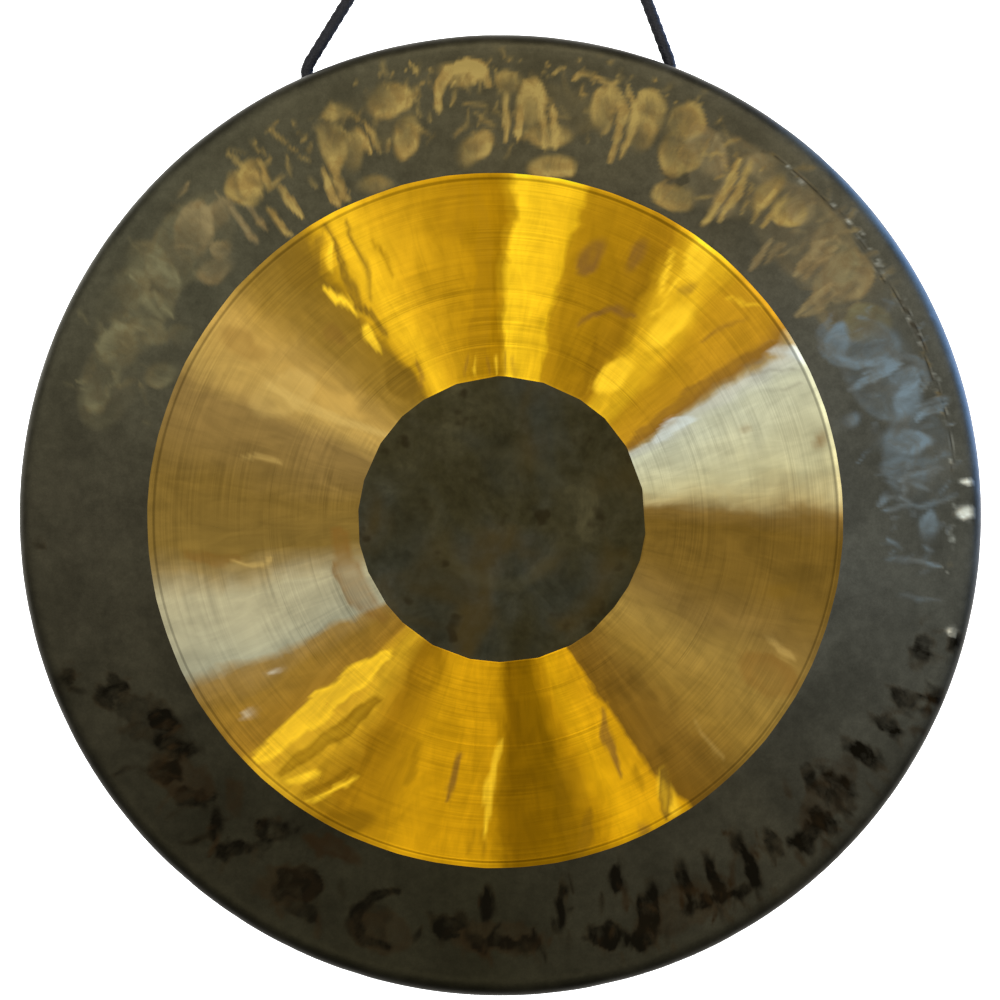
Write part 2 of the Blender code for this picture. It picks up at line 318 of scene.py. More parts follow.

# Scraped strokes, toned by side like the marks above (partly painted reflection): tone, width, strength, and
# the (clock, radius) places along them
STROKES = [
    ("gold", 5.2, 0.95, [(-28.9, 226), (-29.6, 209), (-29.1, 204)]),
    ("gold", 4.7, 0.75, [(-27.3, 229), (-28.1, 207), (-27.6, 204)]),
    ("gold", 4.1, 0.9, [(-22.3, 240), (-21.8, 232), (-21.6, 224)]),
    ("gold", 3.5, 0.7, [(-21.0, 242), (-20.4, 230), (-20.1, 223)]),
    ("gold", 7.0, 0.75, [(-10.8, 240), (-10.1, 252), (-8.6, 260), (-6.5, 262), (-4.4, 258), (-3.7, 251)]),
    ("gold", 3.5, 0.8, [(-10.4, 255), (-10.6, 244), (-10.6, 237)]),
    ("gold", 4.1, 0.85, [(-1.4, 245), (-1.2, 230), (-1.3, 218)]),
    ("gold", 4.1, 0.85, [(0.4, 244), (0.6, 230), (0.5, 219)]),
    ("gold", 4.1, 0.9, [(3.5, 238), (4.3, 226), (4.7, 215)]),
    ("gold", 4.1, 0.85, [(5.0, 240), (5.9, 226), (6.2, 217)]),
    ("gold", 4.1, 0.7, [(7.4, 258), (8.2, 261), (9.5, 260), (10.0, 257)]),
    ("gold", 3.5, 0.8, [(9.7, 261), (11.7, 259), (12.7, 255)]),
    ("gold", 5.2, 0.95, [(12.5, 258), (14.7, 246), (15.0, 233), (14.8, 216)]),
    ("gold", 4.1, 0.85, [(14.0, 261), (16.0, 248), (16.6, 233), (16.1, 220)]),
    ("gold", 4.7, 0.85, [(31.4, 249), (32.3, 229), (32.5, 207)]),
    ("gold", 4.7, 0.7, [(32.9, 252), (33.9, 232), (34.0, 214)]),
    ("gold", 3.5, 0.8, [(37.7, 248), (37.7, 234), (38.2, 224)]),
    ("gold", 3.5, 0.6, [(39.4, 248), (39.6, 235), (39.5, 227)]),
    ("tan", 4.1, 0.6, [(42.0, 225), (42.4, 211), (42.9, 204)]),
    ("tan", 3.5, 0.4, [(43.3, 226), (44.0, 212)]),
    ("tan", 4.7, 0.85, [(47.1, 247), (47.5, 233), (48.4, 221)]),
    ("tan", 4.7, 0.6, [(48.7, 250), (48.9, 234), (49.2, 224)]),
    ("tan", 4.7, 0.85, [(52.4, 233), (52.8, 220), (53.4, 207)]),
    ("tan", 4.1, 0.6, [(53.8, 234), (54.2, 221), (54.2, 210)]),
    ("blue", 5.2, 0.8, [(66.6, 248), (67.0, 232), (67.5, 215)]),
    ("blue", 2.9, 0.5, [(66.0, 250), (66.2, 237), (66.0, 226)]),
    ("blue", 4.1, 0.4, [(65.7, 242), (65.8, 252), (67.5, 259), (69.7, 259), (70.8, 255)]),
    ("blue", 5.2, 0.9, [(73.2, 267), (73.6, 261), (74.2, 247)]),
    ("blue", 3.5, 0.5, [(72.5, 267), (72.6, 258), (72.9, 249)]),
    ("blue", 3.5, 0.55, [(81.3, 256), (81.5, 243), (82.3, 231)]),
    ("blue", 3.5, 0.4, [(84.8, 264), (85.7, 253), (86.2, 242)]),
    ("blue", 2.9, 0.4, [(85.9, 245), (86.1, 231), (86.6, 221)]),
    ("blue", 3.5, 0.4, [(93.9, 255), (93.7, 240), (93.8, 225)]),
    ("blue", 2.9, 0.25, [(98.2, 260), (98.8, 246), (98.7, 235)]),
    ("blue", 5.8, 0.45, [(56.1, 224), (57.5, 215), (60.1, 211), (62.8, 215), (64.7, 226), (65.3, 240)]),
    ("gold", 4.7, 0.9, [(-35.7, 230), (-35.6, 220), (-35.4, 208)]),
    ("gold", 4.1, 0.85, [(-39.0, 223), (-38.8, 213), (-38.6, 204)]),
    ("gold", 3.5, 0.7, [(-36.0, 249), (-36.9, 233), (-34.4, 234)]),
    ("gold", 3.5, 0.7, [(-38.8, 258), (-37.7, 248), (-37.4, 240)]),
    ("tan", 4.1, 0.75, [(-42.9, 238), (-43.3, 225), (-43.5, 213)]),
    ("tan", 3.5, 0.5, [(-41.0, 236), (-40.9, 223), (-41.1, 215)]),
    ("olive", 3.5, 0.7, [(-55.4, 244), (-55.5, 237), (-55.5, 230)]),
    ("olive", 3.5, 0.6, [(-58.8, 239), (-59.9, 230), (-60.4, 222)]),
    ("olive", 2.9, 0.4, [(-60.1, 241), (-61.0, 233), (-61.7, 226)]),
    ("black", 4.7, 0.5, [(-121.1, 233), (-123.9, 228), (-126.9, 229), (-128.0, 236)]),
    ("black", 7.0, 0.7, [(-166.7, 224), (-163.3, 232), (-162.0, 245), (-163.9, 258), (-167.4, 257)]),
    ("black", 5.2, 0.7, [(-171.7, 233), (-173.8, 244), (-176.3, 244)]),
    ("black", 5.8, 0.7, [(160.9, 223), (159.8, 213)]),
    ("black", 1.4, 0.45, [(33.0, 262), (39.5, 262.5), (46.0, 264), (51.5, 262)]),
    ("black", 1.9, 0.55, [(55.0, 261), (60.5, 263.5), (66.0, 264), (71.0, 261.5)]),
    ("black", 1.4, 0.4, [(70.0, 264), (76.0, 265.5), (83.0, 263)]),
]

# The same for the turned ring: painted reflections, where folds and flats reflect darker or brighter than the
# tint round them
RING_OVALS = [
    ("ring_brown", 17, 160, 24, 15, 15, 0.85),
    ("ring_brown", 25, 170, 22, 10, 0, 0.75),
    ("ring_dark", 32, 129, 20, 13, 5, 0.55),
    ("ring_dark", 24, 149, 35, 29, -25, 0.25),
    ("ring_brown", 37, 172, 13, 5, 15, 0.5),
    ("ring_bright", 35, 188, 26, 15, -15, 0.7),
    ("ring_bright", 39, 149, 35, 13, 5, 0.8),
    ("ring_bright", 36, 106, 26, 13, 10, 0.8),
    ("ring_brown", 67, 151, 8, 5, 10, 0.5),
    ("ring_brown", 74, 190, 9, 5, -55, 0.8),
    ("ring_brown", -44, 144, 16, 10, 10, 0.5),
    ("ring_olive", -38, 99, 23, 16, 0, 0.85),
    ("ring_olive", -41, 185, 26, 20, 0, 0.6),
    ("ring_mid", -11, 180, 36, 21, 15, 0.6),
    ("ring_dark", -155, 198, 35, 14, 55, 0.85),
    ("ring_cream", -126, 158, 8, 3, 5, 0.8),
    ("ring_cream", -130, 185, 8, 5, 10, 0.5),
    ("ring_bright", 147, 189, 26, 9, 5, 0.6),
    ("ring_brown", 153, 199, 7, 5, 25, 0.8),
    ("ring_olive", 102, 169, 21, 10, -25, 0.4),
    ("ring_brown", 118, 180, 38, 23, 0, 0.55),
    ("ring_dark", 164, 178, 70, 20, 5, 0.35),
    ("ring_tan", -62, 145, 41, 23, -60, 0.35),
    ("ring_brown", -58, 180, 29, 14, -5, 0.4),
]
RING_STROKES = [
    ("ring_brown", 4.1, 0.8, [(20.0, 121), (21.9, 129), (24.6, 135), (27.7, 139), (31.1, 140)]),
    ("ring_dark", 5.2, 0.8, [(26.0, 119), (27.9, 104), (31.1, 85)]),
    ("ring_bright", 2.9, 0.8, [(30.9, 184), (31.7, 170), (32.8, 158)]),
    ("ring_bright", 2.3, 0.7, [(34.0, 182), (34.8, 167), (34.4, 147)]),
    ("ring_bright", 2.0, 0.5, [(43.4, 182), (45.9, 187), (48.9, 193)]),
    ("ring_brown", 2.6, 0.5, [(46.3, 156), (47.0, 170), (48.3, 183)]),
    ("ring_brown", 8.7, 0.55, [(57.7, 86), (55.3, 111), (54.8, 139), (55.0, 170), (55.2, 188)]),
    ("ring_grey", 1.2, 0.6, [(57.9, 167), (59.1, 180), (61.3, 193)]),
    ("ring_grey", 1.2, 0.5, [(62.1, 172), (63.2, 183), (63.5, 192)]),
    ("ring_grey", 1.2, 0.5, [(55.5, 166), (56.7, 177)]),
    ("ring_white", 8.2, 0.7, [(61.1, 101), (59.6, 111), (60.1, 125)]),
    ("ring_white", 7.0, 0.6, [(56.6, 184), (57.4, 194), (60.4, 197)]),
    ("ring_olive", 6.2, 0.85, [(-32.8, 198), (-34.0, 172), (-35.6, 148), (-33.5, 126)]),
    ("ring_olive", 3.4, 0.75, [(-29.6, 194), (-30.1, 168), (-32.4, 148)]),
    ("ring_dark", 2.6, 0.7, [(-26.7, 186), (-26.2, 170), (-25.9, 154)]),
    ("ring_olive", 2.9, 0.6, [(-32.7, 191), (-33.6, 182), (-34.4, 173)]),
    ("ring_olive", 5.2, 0.7, [(-34.5, 194), (-36.9, 186), (-39.0, 177)]),
    ("ring_bright", 5.2, 0.95, [(-39.7, 167), (-38.3, 156), (-37.0, 145)]),
    ("ring_bright", 4.7, 0.9, [(-37.5, 136), (-37.6, 129), (-37.4, 120)]),
    ("ring_bright", 3.5, 0.8, [(-33.7, 191), (-35.1, 182), (-36.2, 174)]),
    ("ring_mid", 9.9, 0.85, [(-6.6, 194), (-5.3, 169), (-6.0, 137), (-8.9, 108), (-11.1, 90)]),
    ("ring_mid", 3.5, 0.6, [(-8.7, 193), (-10.1, 176), (-10.0, 162)]),
    ("ring_tan", 6.4, 0.5, [(-62.0, 156), (-62.4, 137), (-61.1, 116), (-55.1, 82)]),
    ("ring_tan", 4.1, 0.35, [(-79.0, 153), (-77.0, 144), (-77.6, 131)]),
    ("ring_brown", 15.2, 0.7, [(-97.7, 94), (-108.5, 94), (-120.5, 93), (-131.7, 89)]),
    ("ring_brown", 7.0, 0.5, [(-98.3, 182), (-100.4, 168), (-100.3, 153)]),
    ("ring_tan", 3.5, 0.5, [(-101.1, 155), (-103.0, 141), (-102.1, 133)]),
    ("ring_bright", 14.0, 0.85, [(-141.8, 104), (-139.0, 132), (-137.6, 167), (-137.1, 196)]),
    ("ring_dark", 9.9, 0.85, [(-147.6, 126), (-145.4, 151), (-143.0, 171), (-141.2, 194)]),
    ("ring_dark", 4.7, 0.85, [(-146.4, 197), (-148.6, 185), (-151.1, 170)]),
    ("ring_bright", 3.5, 0.9, [(-147.7, 198), (-150.3, 186), (-153.0, 171)]),
    ("ring_bright", 5.8, 0.8, [(-143.5, 195), (-146.4, 182)]),
    ("ring_brown", 4.7, 0.85, [(-172.4, 138), (-171.5, 153), (-171.4, 167)]),
    ("ring_dark", 5.2, 0.5, [(-162.2, 137), (-162.3, 150), (-162.3, 163)]),
    ("ring_bright", 5.2, 0.75, [(-181.8, 130), (-180.3, 146), (-179.2, 164), (-179.2, 183)]),
    ("ring_dark", 2.3, 0.6, [(-177.0, 179), (-177.1, 194)]),
    ("ring_dark", 2.3, 0.6, [(-178.6, 182), (-179.0, 196)]),
    ("ring_brown", 4.7, 0.8, [(150.1, 125), (151.8, 142), (153.1, 163)]),
    ("ring_dark", 3.5, 0.5, [(149.1, 162), (149.6, 169), (150.0, 178)]),
    ("ring_olive", 8.2, 0.8, [(145.2, 174), (147.1, 186), (148.8, 199)]),
    ("ring_dark", 7.0, 0.8, [(161.2, 179), (163.0, 191), (164.5, 201)]),
    ("ring_tan", 5.2, 0.35, [(111.9, 169), (112.7, 179), (113.6, 190)]),
    ("ring_tan", 2.9, 0.22, [(134.2, 162), (134.8, 175), (135.1, 189)]),
    ("ring_brown", 1.7, 0.6, [(-13.9, 97), (-15.6, 85)]),
    ("ring_brown", 1.7, 0.6, [(-7.0, 96), (-7.3, 85)]),
    ("ring_brown", 1.7, 0.6, [(-0.4, 96), (0.7, 84)]),
    ("ring_brown", 1.7, 0.5, [(2.1, 95), (3.9, 83)]),
    ("ring_bright", 2.3, 0.6, [(-3.5, 95), (-3.7, 84)]),
    ("ring_bright", 2.3, 0.5, [(-10.6, 95), (-11.7, 84)]),
    ("ring_brown", 4.1, 0.6, [(-33.5, 90), (-30.2, 94), (-30.1, 102)]),
]


# ---------------------------------------------------------------- plate mesh


def turned_lines():
    """The plate's section, front centre to back centre: (radius, depth, facing, steps).

    Facing is the surface's direction in degrees: 0 looks to the front, 90
    outwards, 180 to the back and 270 inwards.
    """
    lines = []

    def face(radii, steps, low, facing=0):
        for radius in radii:
            share = radius / (RADIUS - SHOULDER)
            depth = low - CROWN * (1 + np.cos(np.pi * share)) / 2
            lines.append((radius, depth, facing, steps))

    def bend(turns, radius):
        for turn in turns:
            angle = np.radians(turn)
            across = RADIUS - SHOULDER + radius * np.sin(angle)
            facing = turn if radius == SHOULDER else 180 + turn
            lines.append((across, SHOULDER - radius * np.cos(angle), facing, MIDDLE))

    def tube(depths, radius, facing):
        lines.extend((radius, depth, facing, MIDDLE) for depth in depths)

    face(np.linspace(7, 77, 11), COARSE, 0)
    face((DISC_EDGE - 0.3,), COARSE, 0)
    face((DISC_EDGE + 0.3, DISC_EDGE + 1.5), MIDDLE, RECESS)
    grooved = [(radius, RECESS) for radius in np.linspace(87, 196, 35)]
    for centre in STRONG_GROOVES:
        grooved = [line for line in grooved if abs(line[0] - centre) > 1.7]
        grooved += [(centre + step, RECESS + deep) for step, deep in
                    ((-1.1, 0), (-0.55, 0.08), (0, 0.01), (0.55, 0.08), (1.1, 0))]
    grooved += [(EDGE_GROOVE + step, RECESS + deep) for step, deep in
                ((-0.6, 0), (0, 0.10), (0.6, 0))]
    for radius, low in sorted(grooved):
        face((radius,), MIDDLE, low)
    face((RING_EDGE - 2.2,), MIDDLE, RECESS)
    face((RING_EDGE - 1.9,), MIDDLE, RECESS - 0.10)
    face((RING_EDGE - 0.25,), MIDDLE, RECESS - 0.06)
    face((RING_EDGE + 0.25,), FINE, 0)
    face(np.linspace(RING_EDGE + 1.6, RADIUS - SHOULDER, 37), FINE, 0)
    bend((13, 27, 42, 58, 74, 90), SHOULDER)
    tube((16.5, 20.75, 25.0, 29.25, 33.5, RIM_DEPTH - 0.5), RADIUS, 90)
    lines.append((RADIUS - 0.45, RIM_DEPTH, 180, MIDDLE))
    lines.append((RADIUS - SHEET + 0.45, RIM_DEPTH, 180, MIDDLE))
    tube((RIM_DEPTH - 0.5, 33.5, 29.25, 25.0, 20.75, 16.5, SHOULDER), RADIUS - SHEET, 270)
    bend((67, 45, 22, 0), SHOULDER - SHEET)
    face(np.linspace(262, RING_EDGE + 0.4, 11), MIDDLE, SHEET, 180)
    face((RING_EDGE - 0.4,), COARSE, SHEET - RECESS, 180)
    face(np.linspace(197, DISC_EDGE + 3, 17), COARSE, SHEET - RECESS, 180)
    face((DISC_EDGE + 0.4,), COARSE, SHEET - RECESS, 180)
    face((DISC_EDGE - 0.4,), COARSE, SHEET, 180)
    face(np.linspace(76, 8, 7), COARSE, SHEET, 180)
    return lines


def line_faces(first, first_steps, second, second_steps):
    """The faces between two lines of vertices, whose numbers start at first and second."""
    faces = []
    if first_steps == second_steps:
        for k in range(first_steps):
            after = (k + 1) % first_steps
            faces.append((first + k, first + after, second + after, second + k))
    elif second_steps == 2 * first_steps:
        for k in range(first_steps):
            after = (k + 1) % first_steps
            outer = [second + (2 * k + step) % second_steps for step in (2, 1, 0)]
            faces.append((first + k, first + after, *outer))
    else:
        for k in range(second_steps):
            after = (k + 1) % second_steps
            inner = [first + (2 * k + step) % first_steps for step in (0, 1, 2)]
            faces.append((*inner, second + after, second + k))
    return faces


def part_of(radius, facing):
    """Which material a face takes, by the middle of its section: 0 oxide rim, 1 ring, 2 disc."""
    if facing not in (0, 180) or radius > RING_EDGE:
        return 0
    return 1 if radius > DISC_EDGE else 2


def hole_patch(starts, lines, radius, clock):
    """The faces round one cord hole: what to leave out, the patch's border and its centre."""
    depths = {16.5: 0, 20.75: 1, 25.0: 2, 29.25: 3, 33.5: 4}
    rows = [None] * 5
    for number, (line_radius, depth, facing, _) in enumerate(lines):
        if line_radius == radius and facing in (90, 270) and depth in depths:
            rows[depths[depth]] = starts[number]
    middle = round(clock / 360 * MIDDLE)
    columns = [(middle + k) % MIDDLE for k in range(-HOLE_HALF_SPAN, HOLE_HALF_SPAN + 1)]
    border = [rows[0] + column for column in columns]
    border += [row + columns[-1] for row in rows[1:]]
    border += [rows[4] + column for column in columns[-2::-1]]
    border += [row + columns[0] for row in rows[3:0:-1]]
    inside = {row + column for row in rows[1:4] for column in columns[1:-1]}
    return border, inside


def smooth(share):
    share = np.clip(share, 0, 1)
    return share * share * (3 - 2 * share)


def facet_edge(clock, radius, longest, sink, swing, seed):
    """How far a hand-scraped border runs off its circle: short cuts that sink towards a chord."""
    spread = np.random.RandomState(seed)
    corners = [0.0]
    while corners[-1] < 360 - 0.7 * longest:
        corners.append(corners[-1] + spread.uniform(0.5, 1.0) * longest)
    corners = np.array(corners + [360.0])
    offsets = spread.uniform(-swing, swing, len(corners))
    offsets[-1] = offsets[0]
    turned = np.mod(clock, 360)
    bulge = np.interp(turned, corners, offsets)
    number = np.clip(np.searchsorted(corners, turned, "right") - 1, 0, len(corners) - 2)
    along = (turned - corners[number]) / (corners[number + 1] - corners[number])
    width = np.radians(corners[number + 1] - corners[number])
    return bulge - sink * radius * (width ** 2 / 2) * along * (1 - along)


def wobble(x, z, reach, size, seed):
    """Places moved about by a slow random swirl, so that outlines drawn over them come out uneven."""
    spread = np.random.RandomState(seed)
    moved = []
    for axis in (x, z):
        shift = np.zeros(x.shape)
        for _ in range(7):
            heading = spread.uniform(0, 2 * np.pi)
            pace = 2 * np.pi / (size * spread.uniform(0.5, 1.8))
            shift += np.sin((x * np.cos(heading) + z * np.sin(heading)) * pace + spread.uniform(0, 6.3))
        moved.append(axis + reach * shift / 2.6)
    return moved


def oval_distance(x, z, clock, radius, length, width, turn):
    """Signed distance to an oval's edge in millimetres, negative inside."""
    angle = np.radians(clock)
    heading = np.radians(clock + turn)
    dx = x - radius * np.sin(angle)
    dz = z - radius * np.cos(angle)
    along = dx * np.sin(heading) + dz * np.cos(heading)
    across = dx * np.cos(heading) - dz * np.sin(heading)
    reach = np.hypot(along / (length / 2), across / (width / 2))
    return (reach - 1) * min(length, width) / 2


def stroke_distance(x, z, width, places):
    """Signed distance to a stroke's edge in millimetres, negative inside; the ends taper."""
    points = [(r * np.sin(np.radians(c)), r * np.cos(np.radians(c))) for c, r in places]
    nearest = np.full(x.shape, 1e9)
    for number, ((x0, z0), (x1, z1)) in enumerate(zip(points, points[1:])):
        dx, dz = x1 - x0, z1 - z0
        along = np.clip(((x - x0) * dx + (z - z0) * dz) / (dx * dx + dz * dz), 0, 1)
        share = (number + along) / (len(points) - 1)
        thinned = width / 2 * (0.45 + 0.55 * np.sin(np.pi * np.clip(share, 0.02, 0.98)) ** 0.6)
        apart = np.hypot(x - x0 - along * dx, z - z0 - along * dz)
        nearest = np.minimum(nearest, apart - thinned)
    return nearest


class Surface:
    """Every vertex of the plate: where it is, and what the hammer did there."""

    def __init__(self, lines):
        counts = [line[3] for line in lines]
        self.starts = np.concatenate([[0], np.cumsum(counts)])
        self.clock = np.concatenate([np.arange(count) * 360 / count for count in counts])
        self.radius = np.repeat([line[0] for line in lines], counts)
        self.depth = np.repeat([line[1] for line in lines], counts)
        self.facing = np.repeat([line[2] for line in lines], counts)
        self.front = self.facing < 60
        self.size = len(self.clock)
        self.cover = np.zeros(self.size)
        self.colour = np.zeros((self.size, 3))
        self.weight = np.full(self.size, 1e-6)
        self.height = np.zeros(self.size)
        self.place()

    def place(self):
        radius = self.radius.astype(float)
        near = smooth(1 - np.abs(radius - DISC_EDGE) / 5) * self.front
        radius += near * facet_edge(self.clock, DISC_EDGE, 19.0, 1.0, 0.55, 3)
        near = smooth(1 - np.abs(radius - RING_EDGE) / 5) * self.front
        radius += near * facet_edge(self.clock, RING_EDGE, 9.0, 0.4, 0.28, 8)
        angle = np.radians(self.clock)
        known = (0, DISC_EDGE, RING_EDGE, RADIUS - SHOULDER - 2)
        shift_x = np.interp(self.radius, known, (DISC_SHIFT[0], DISC_SHIFT[0], RING_SHIFT[0], 0))
        shift_z = np.interp(self.radius, known, (DISC_SHIFT[1], DISC_SHIFT[1], RING_SHIFT[1], 0))
        self.x = radius * np.sin(angle) + shift_x * self.front
        self.z = radius * np.cos(angle) + shift_z * self.front

    def mark(self, near, distance, tone, strength, edge, lean, dent):
        """Adds one mark to the cover, the colour and the height; lean is how much one side fades."""
        if not len(near):
            return
        if tone in DARK_TONES:
            strength = min(1.3 * strength, 1.0)
        angle = self.spread.uniform(0, 2 * np.pi)
        x = self.x[near] - self.x[near].mean()
        z = self.z[near] - self.z[near].mean()
        inside = distance < 0
        size = max(np.hypot(x, z)[inside].max(), 1.0) if inside.any() else 1.0
        lit = (x * np.cos(angle) + z * np.sin(angle)) / size
        lit = np.clip(1 - lean * 0.5 + lean * 0.6 * lit, 0.12, 1.15)
        soft = edge * (1 + 1.6 * np.clip(1 - lit, 0, 1))
        # The mark is strongest along its edge: on the bright marks this is a painted highlight on the dent's
        # border.
        lip_highlight = np.exp(-((distance + edge) / edge) ** 2)
        cover = np.clip(strength * smooth(0.5 - distance / soft) * lit * (0.78 + 0.34 * lip_highlight), 0, 1)
        self.cover[near] = 1 - (1 - self.cover[near]) * (1 - cover)
        weight = cover * cover + 1e-3 * np.exp(-np.clip(distance, 0, None) / 2.0)
        self.colour[near] = self.colour[near] * (1 - cover)[:, None] + weight[:, None] * np.array(TONES[tone])
        self.weight[near] = self.weight[near] * (1 - cover) + weight
        self.height[near] -= dent * strength * smooth(-distance / 5.0)

    def near(self, places, reach, band):
        """The numbers of the vertices of one band within reach of a mark."""
        points = [(r * np.sin(np.radians(c)), r * np.cos(np.radians(c))) for c, r in places]
        middle = np.mean(points, axis=0)
        far = max(np.hypot(*(np.array(point) - middle)) for point in points) + reach
        return band[np.hypot(self.x[band] - middle[0], self.z[band] - middle[1]) < far]

    def ovals(self, marks, band, edge, lean, dent):
        for tone, clock, radius, length, width, turn, strength in marks:
            near = self.near([(clock, radius)], length / 2 + 12, band)
            distance = oval_distance(self.wx[near], self.wz[near], clock, radius, length, width, turn)
            self.mark(near, distance, tone, strength, edge, lean, dent)

    def strokes(self, marks, band, edge, lean, dent):
        for tone, width, strength, places in marks:
            near = self.near(places, width / 2 + 12, band)
            distance = stroke_distance(self.wx[near], self.wz[near], width, places)
            self.mark(near, distance, tone, strength, edge, lean, dent)

    def add_marks(self):
        rim = np.where(self.front & (self.radius > RING_EDGE))[0]
        ring = np.where(self.front & (self.radius > DISC_EDGE) & (self.radius < RING_EDGE))[0]
        self.spread = np.random.RandomState(11)
        self.wx, self.wz = wobble(self.x, self.z, 0.9, 22.0, 4)
        self.ovals([mark for mark in OVALS if mark[0] not in DARK_TONES], rim, 2.3, 0.9, 0.22)
        self.wx, self.wz = wobble(self.x, self.z, 1.7, 12.0, 14)
        self.ovals([mark for mark in OVALS if mark[0] in DARK_TONES], rim, 2.3, 0.3, 0.22)
        self.wx, self.wz = wobble(self.x, self.z, 0.6, 11.0, 9)
        self.strokes(STROKES, rim, 1.5, 0.5, 0.1)
        self.strokes(self.wisps(), rim, 1.6, 0.6, 0.04)
        self.strokes(self.dark_streaks(), rim, 1.7, 0.6, 0.05)
        self.ovals(self.specks(), rim, 1.0, 0.2, -0.04)
        self.wx, self.wz = wobble(self.x, self.z, 1.1, 16.0, 6)
        self.ovals(RING_OVALS, ring, 2.6, 0.3, 0.1)
        self.strokes(RING_STROKES, ring, 1.5, 0.25, 0.08)

    def wisps(self):
        """Short faint scrapes between the marks of the rim's upper half."""
        marks = []
        for _ in range(WISPS):
            clock = self.spread.uniform(-78, 96)
            radius = np.clip(self.spread.normal(240, 13), 208, 264)
            # The tone follows the side, as on the marks: painted reflection, warm at the top and blue on the
            # right.
            if -42 < clock < 38:
                tone = "gold"
            elif -52 < clock < 57:
                tone = "tan"
            else:
                tone = "blue" if clock > 0 else "olive"
            length = self.spread.uniform(3, 13)
            heading = self.spread.normal(0, 0.7)
            end_clock = clock + np.degrees(length * np.sin(heading) / radius)
            end = (end_clock, radius + length * np.cos(heading))
            width = self.spread.uniform(1.2, 3.4)
            strength = self.spread.uniform(0.12, 0.5)
            marks.append((tone, width, strength, [(clock, radius), end]))
        return marks

    def dark_streaks(self):
        """Short dark scrapes that run out from the black marks of the rim's lower half: painted shade, like
        those marks.
        """
        marks = []
        for tone, clock, radius, length, _, turn, strength in OVALS:
            if tone != "black" or abs(clock) < DARK_STREAK_CLOCK:
                continue
            for _ in range(DARK_STREAKS_PER_OVAL):
                share = self.spread.uniform(-0.6, 0.6) * length
                along = radians(turn)
                start_radius = radius + share * cos(along) + self.spread.normal(0, 4.5)
                start_clock = clock + (share * sin(along) + self.spread.normal(0, 5)) / radius * 180 / pi
                run = self.spread.uniform(4, 15)
                heading = self.spread.normal(0, 0.45)
                end_clock = start_clock + run * sin(heading) / radius * 180 / pi
                end = (end_clock, start_radius + run * cos(heading))
                shade = "black" if self.spread.uniform() < 0.6 else "brown"
                width = self.spread.uniform(1.4, 4.6)
                weight = strength * self.spread.uniform(0.25, 0.8)
                marks.append((shade, width, weight, [(start_clock, start_radius), end]))
        return marks

    def specks(self):
        """Bright grains where the skin has cracked away, along the upper right shoulder and the top."""
        marks = []
        for _ in range(SHOULDER_GRAINS):
            clock = self.spread.choice((36, 44, 52, 57, 66, 71, 80, 90)) + self.spread.normal(0, 2.4)
            radius = self.spread.normal(264.5, 1.4) - 3 * sin(radians(clock * 7)) ** 2
            size = self.spread.uniform(1.0, 2.4)
            tone = "cream" if self.spread.uniform() < 0.55 else "gold"
            marks.append((tone, clock, radius, size * 1.5, size, 90, self.spread.uniform(0.04, 0.22)))
        for _ in range(TOP_GRAINS):
            clock = self.spread.normal(0, 14)
            radius = self.spread.normal(262, 4)
            size = self.spread.uniform(1.2, 2.4)
            marks.append(("gold", clock, radius, size * 1.6, size, 40, self.spread.uniform(0.2, 0.6)))
        return marks

    def add_hammering(self):
        """Shallow dents all over the rim, on both sides, and a slow waviness in the face."""
        spread = np.random.RandomState(5)
        rim = (self.radius > RING_EDGE) & (self.radius <= RADIUS)
        for side in (self.facing < 45, self.facing > 200, (self.facing >= 45) & (self.facing <= 90)):
            numbers = np.where(rim & side)[0]
            arc = np.radians(self.clock[numbers]) * 250
            run = self.radius[numbers] + np.where(self.facing[numbers] == 90, self.depth[numbers], 0)
            low, high = run.min(), run.max()
            for _ in range(int(DENTS * (high - low + 20) / DENT_BAND)):
                size = spread.uniform(6, 12)
                away = np.abs(arc - spread.uniform(0, 2 * np.pi * 250))
                away = np.minimum(away, 2 * np.pi * 250 - away)
                reach = np.hypot(away, run - spread.uniform(low - 5, high + 5)) / size
                self.height[numbers] -= spread.uniform(0.03, 0.12) * smooth(1 - reach)
        angle = np.radians(self.clock)
        inner = smooth((self.radius - 20) / 60) * smooth((RADIUS - self.radius) / 20)
        for _ in range(FACE_WAVES):
            turns = spread.randint(2, 14)
            waves = spread.uniform(1, 4.5) * self.radius / RADIUS
            phase = spread.uniform(0, 2 * np.pi)
            swing = np.cos(turns * angle + phase + waves * spread.uniform(-3, 3))
            self.height += 0.05 * inner * swing * np.cos(waves * np.pi + phase)

    def metres(self):
        """The vertices' places in the plate's own frame, in metres."""
        angle = np.radians(self.clock)
        facing = np.radians(self.facing)
        out = self.height * np.sin(facing)
        x = self.x + out * np.sin(angle)
        z = self.z + out * np.cos(angle)
        y = self.depth - self.height * np.cos(facing)
        return np.stack([x, y, z], axis=1) * MM


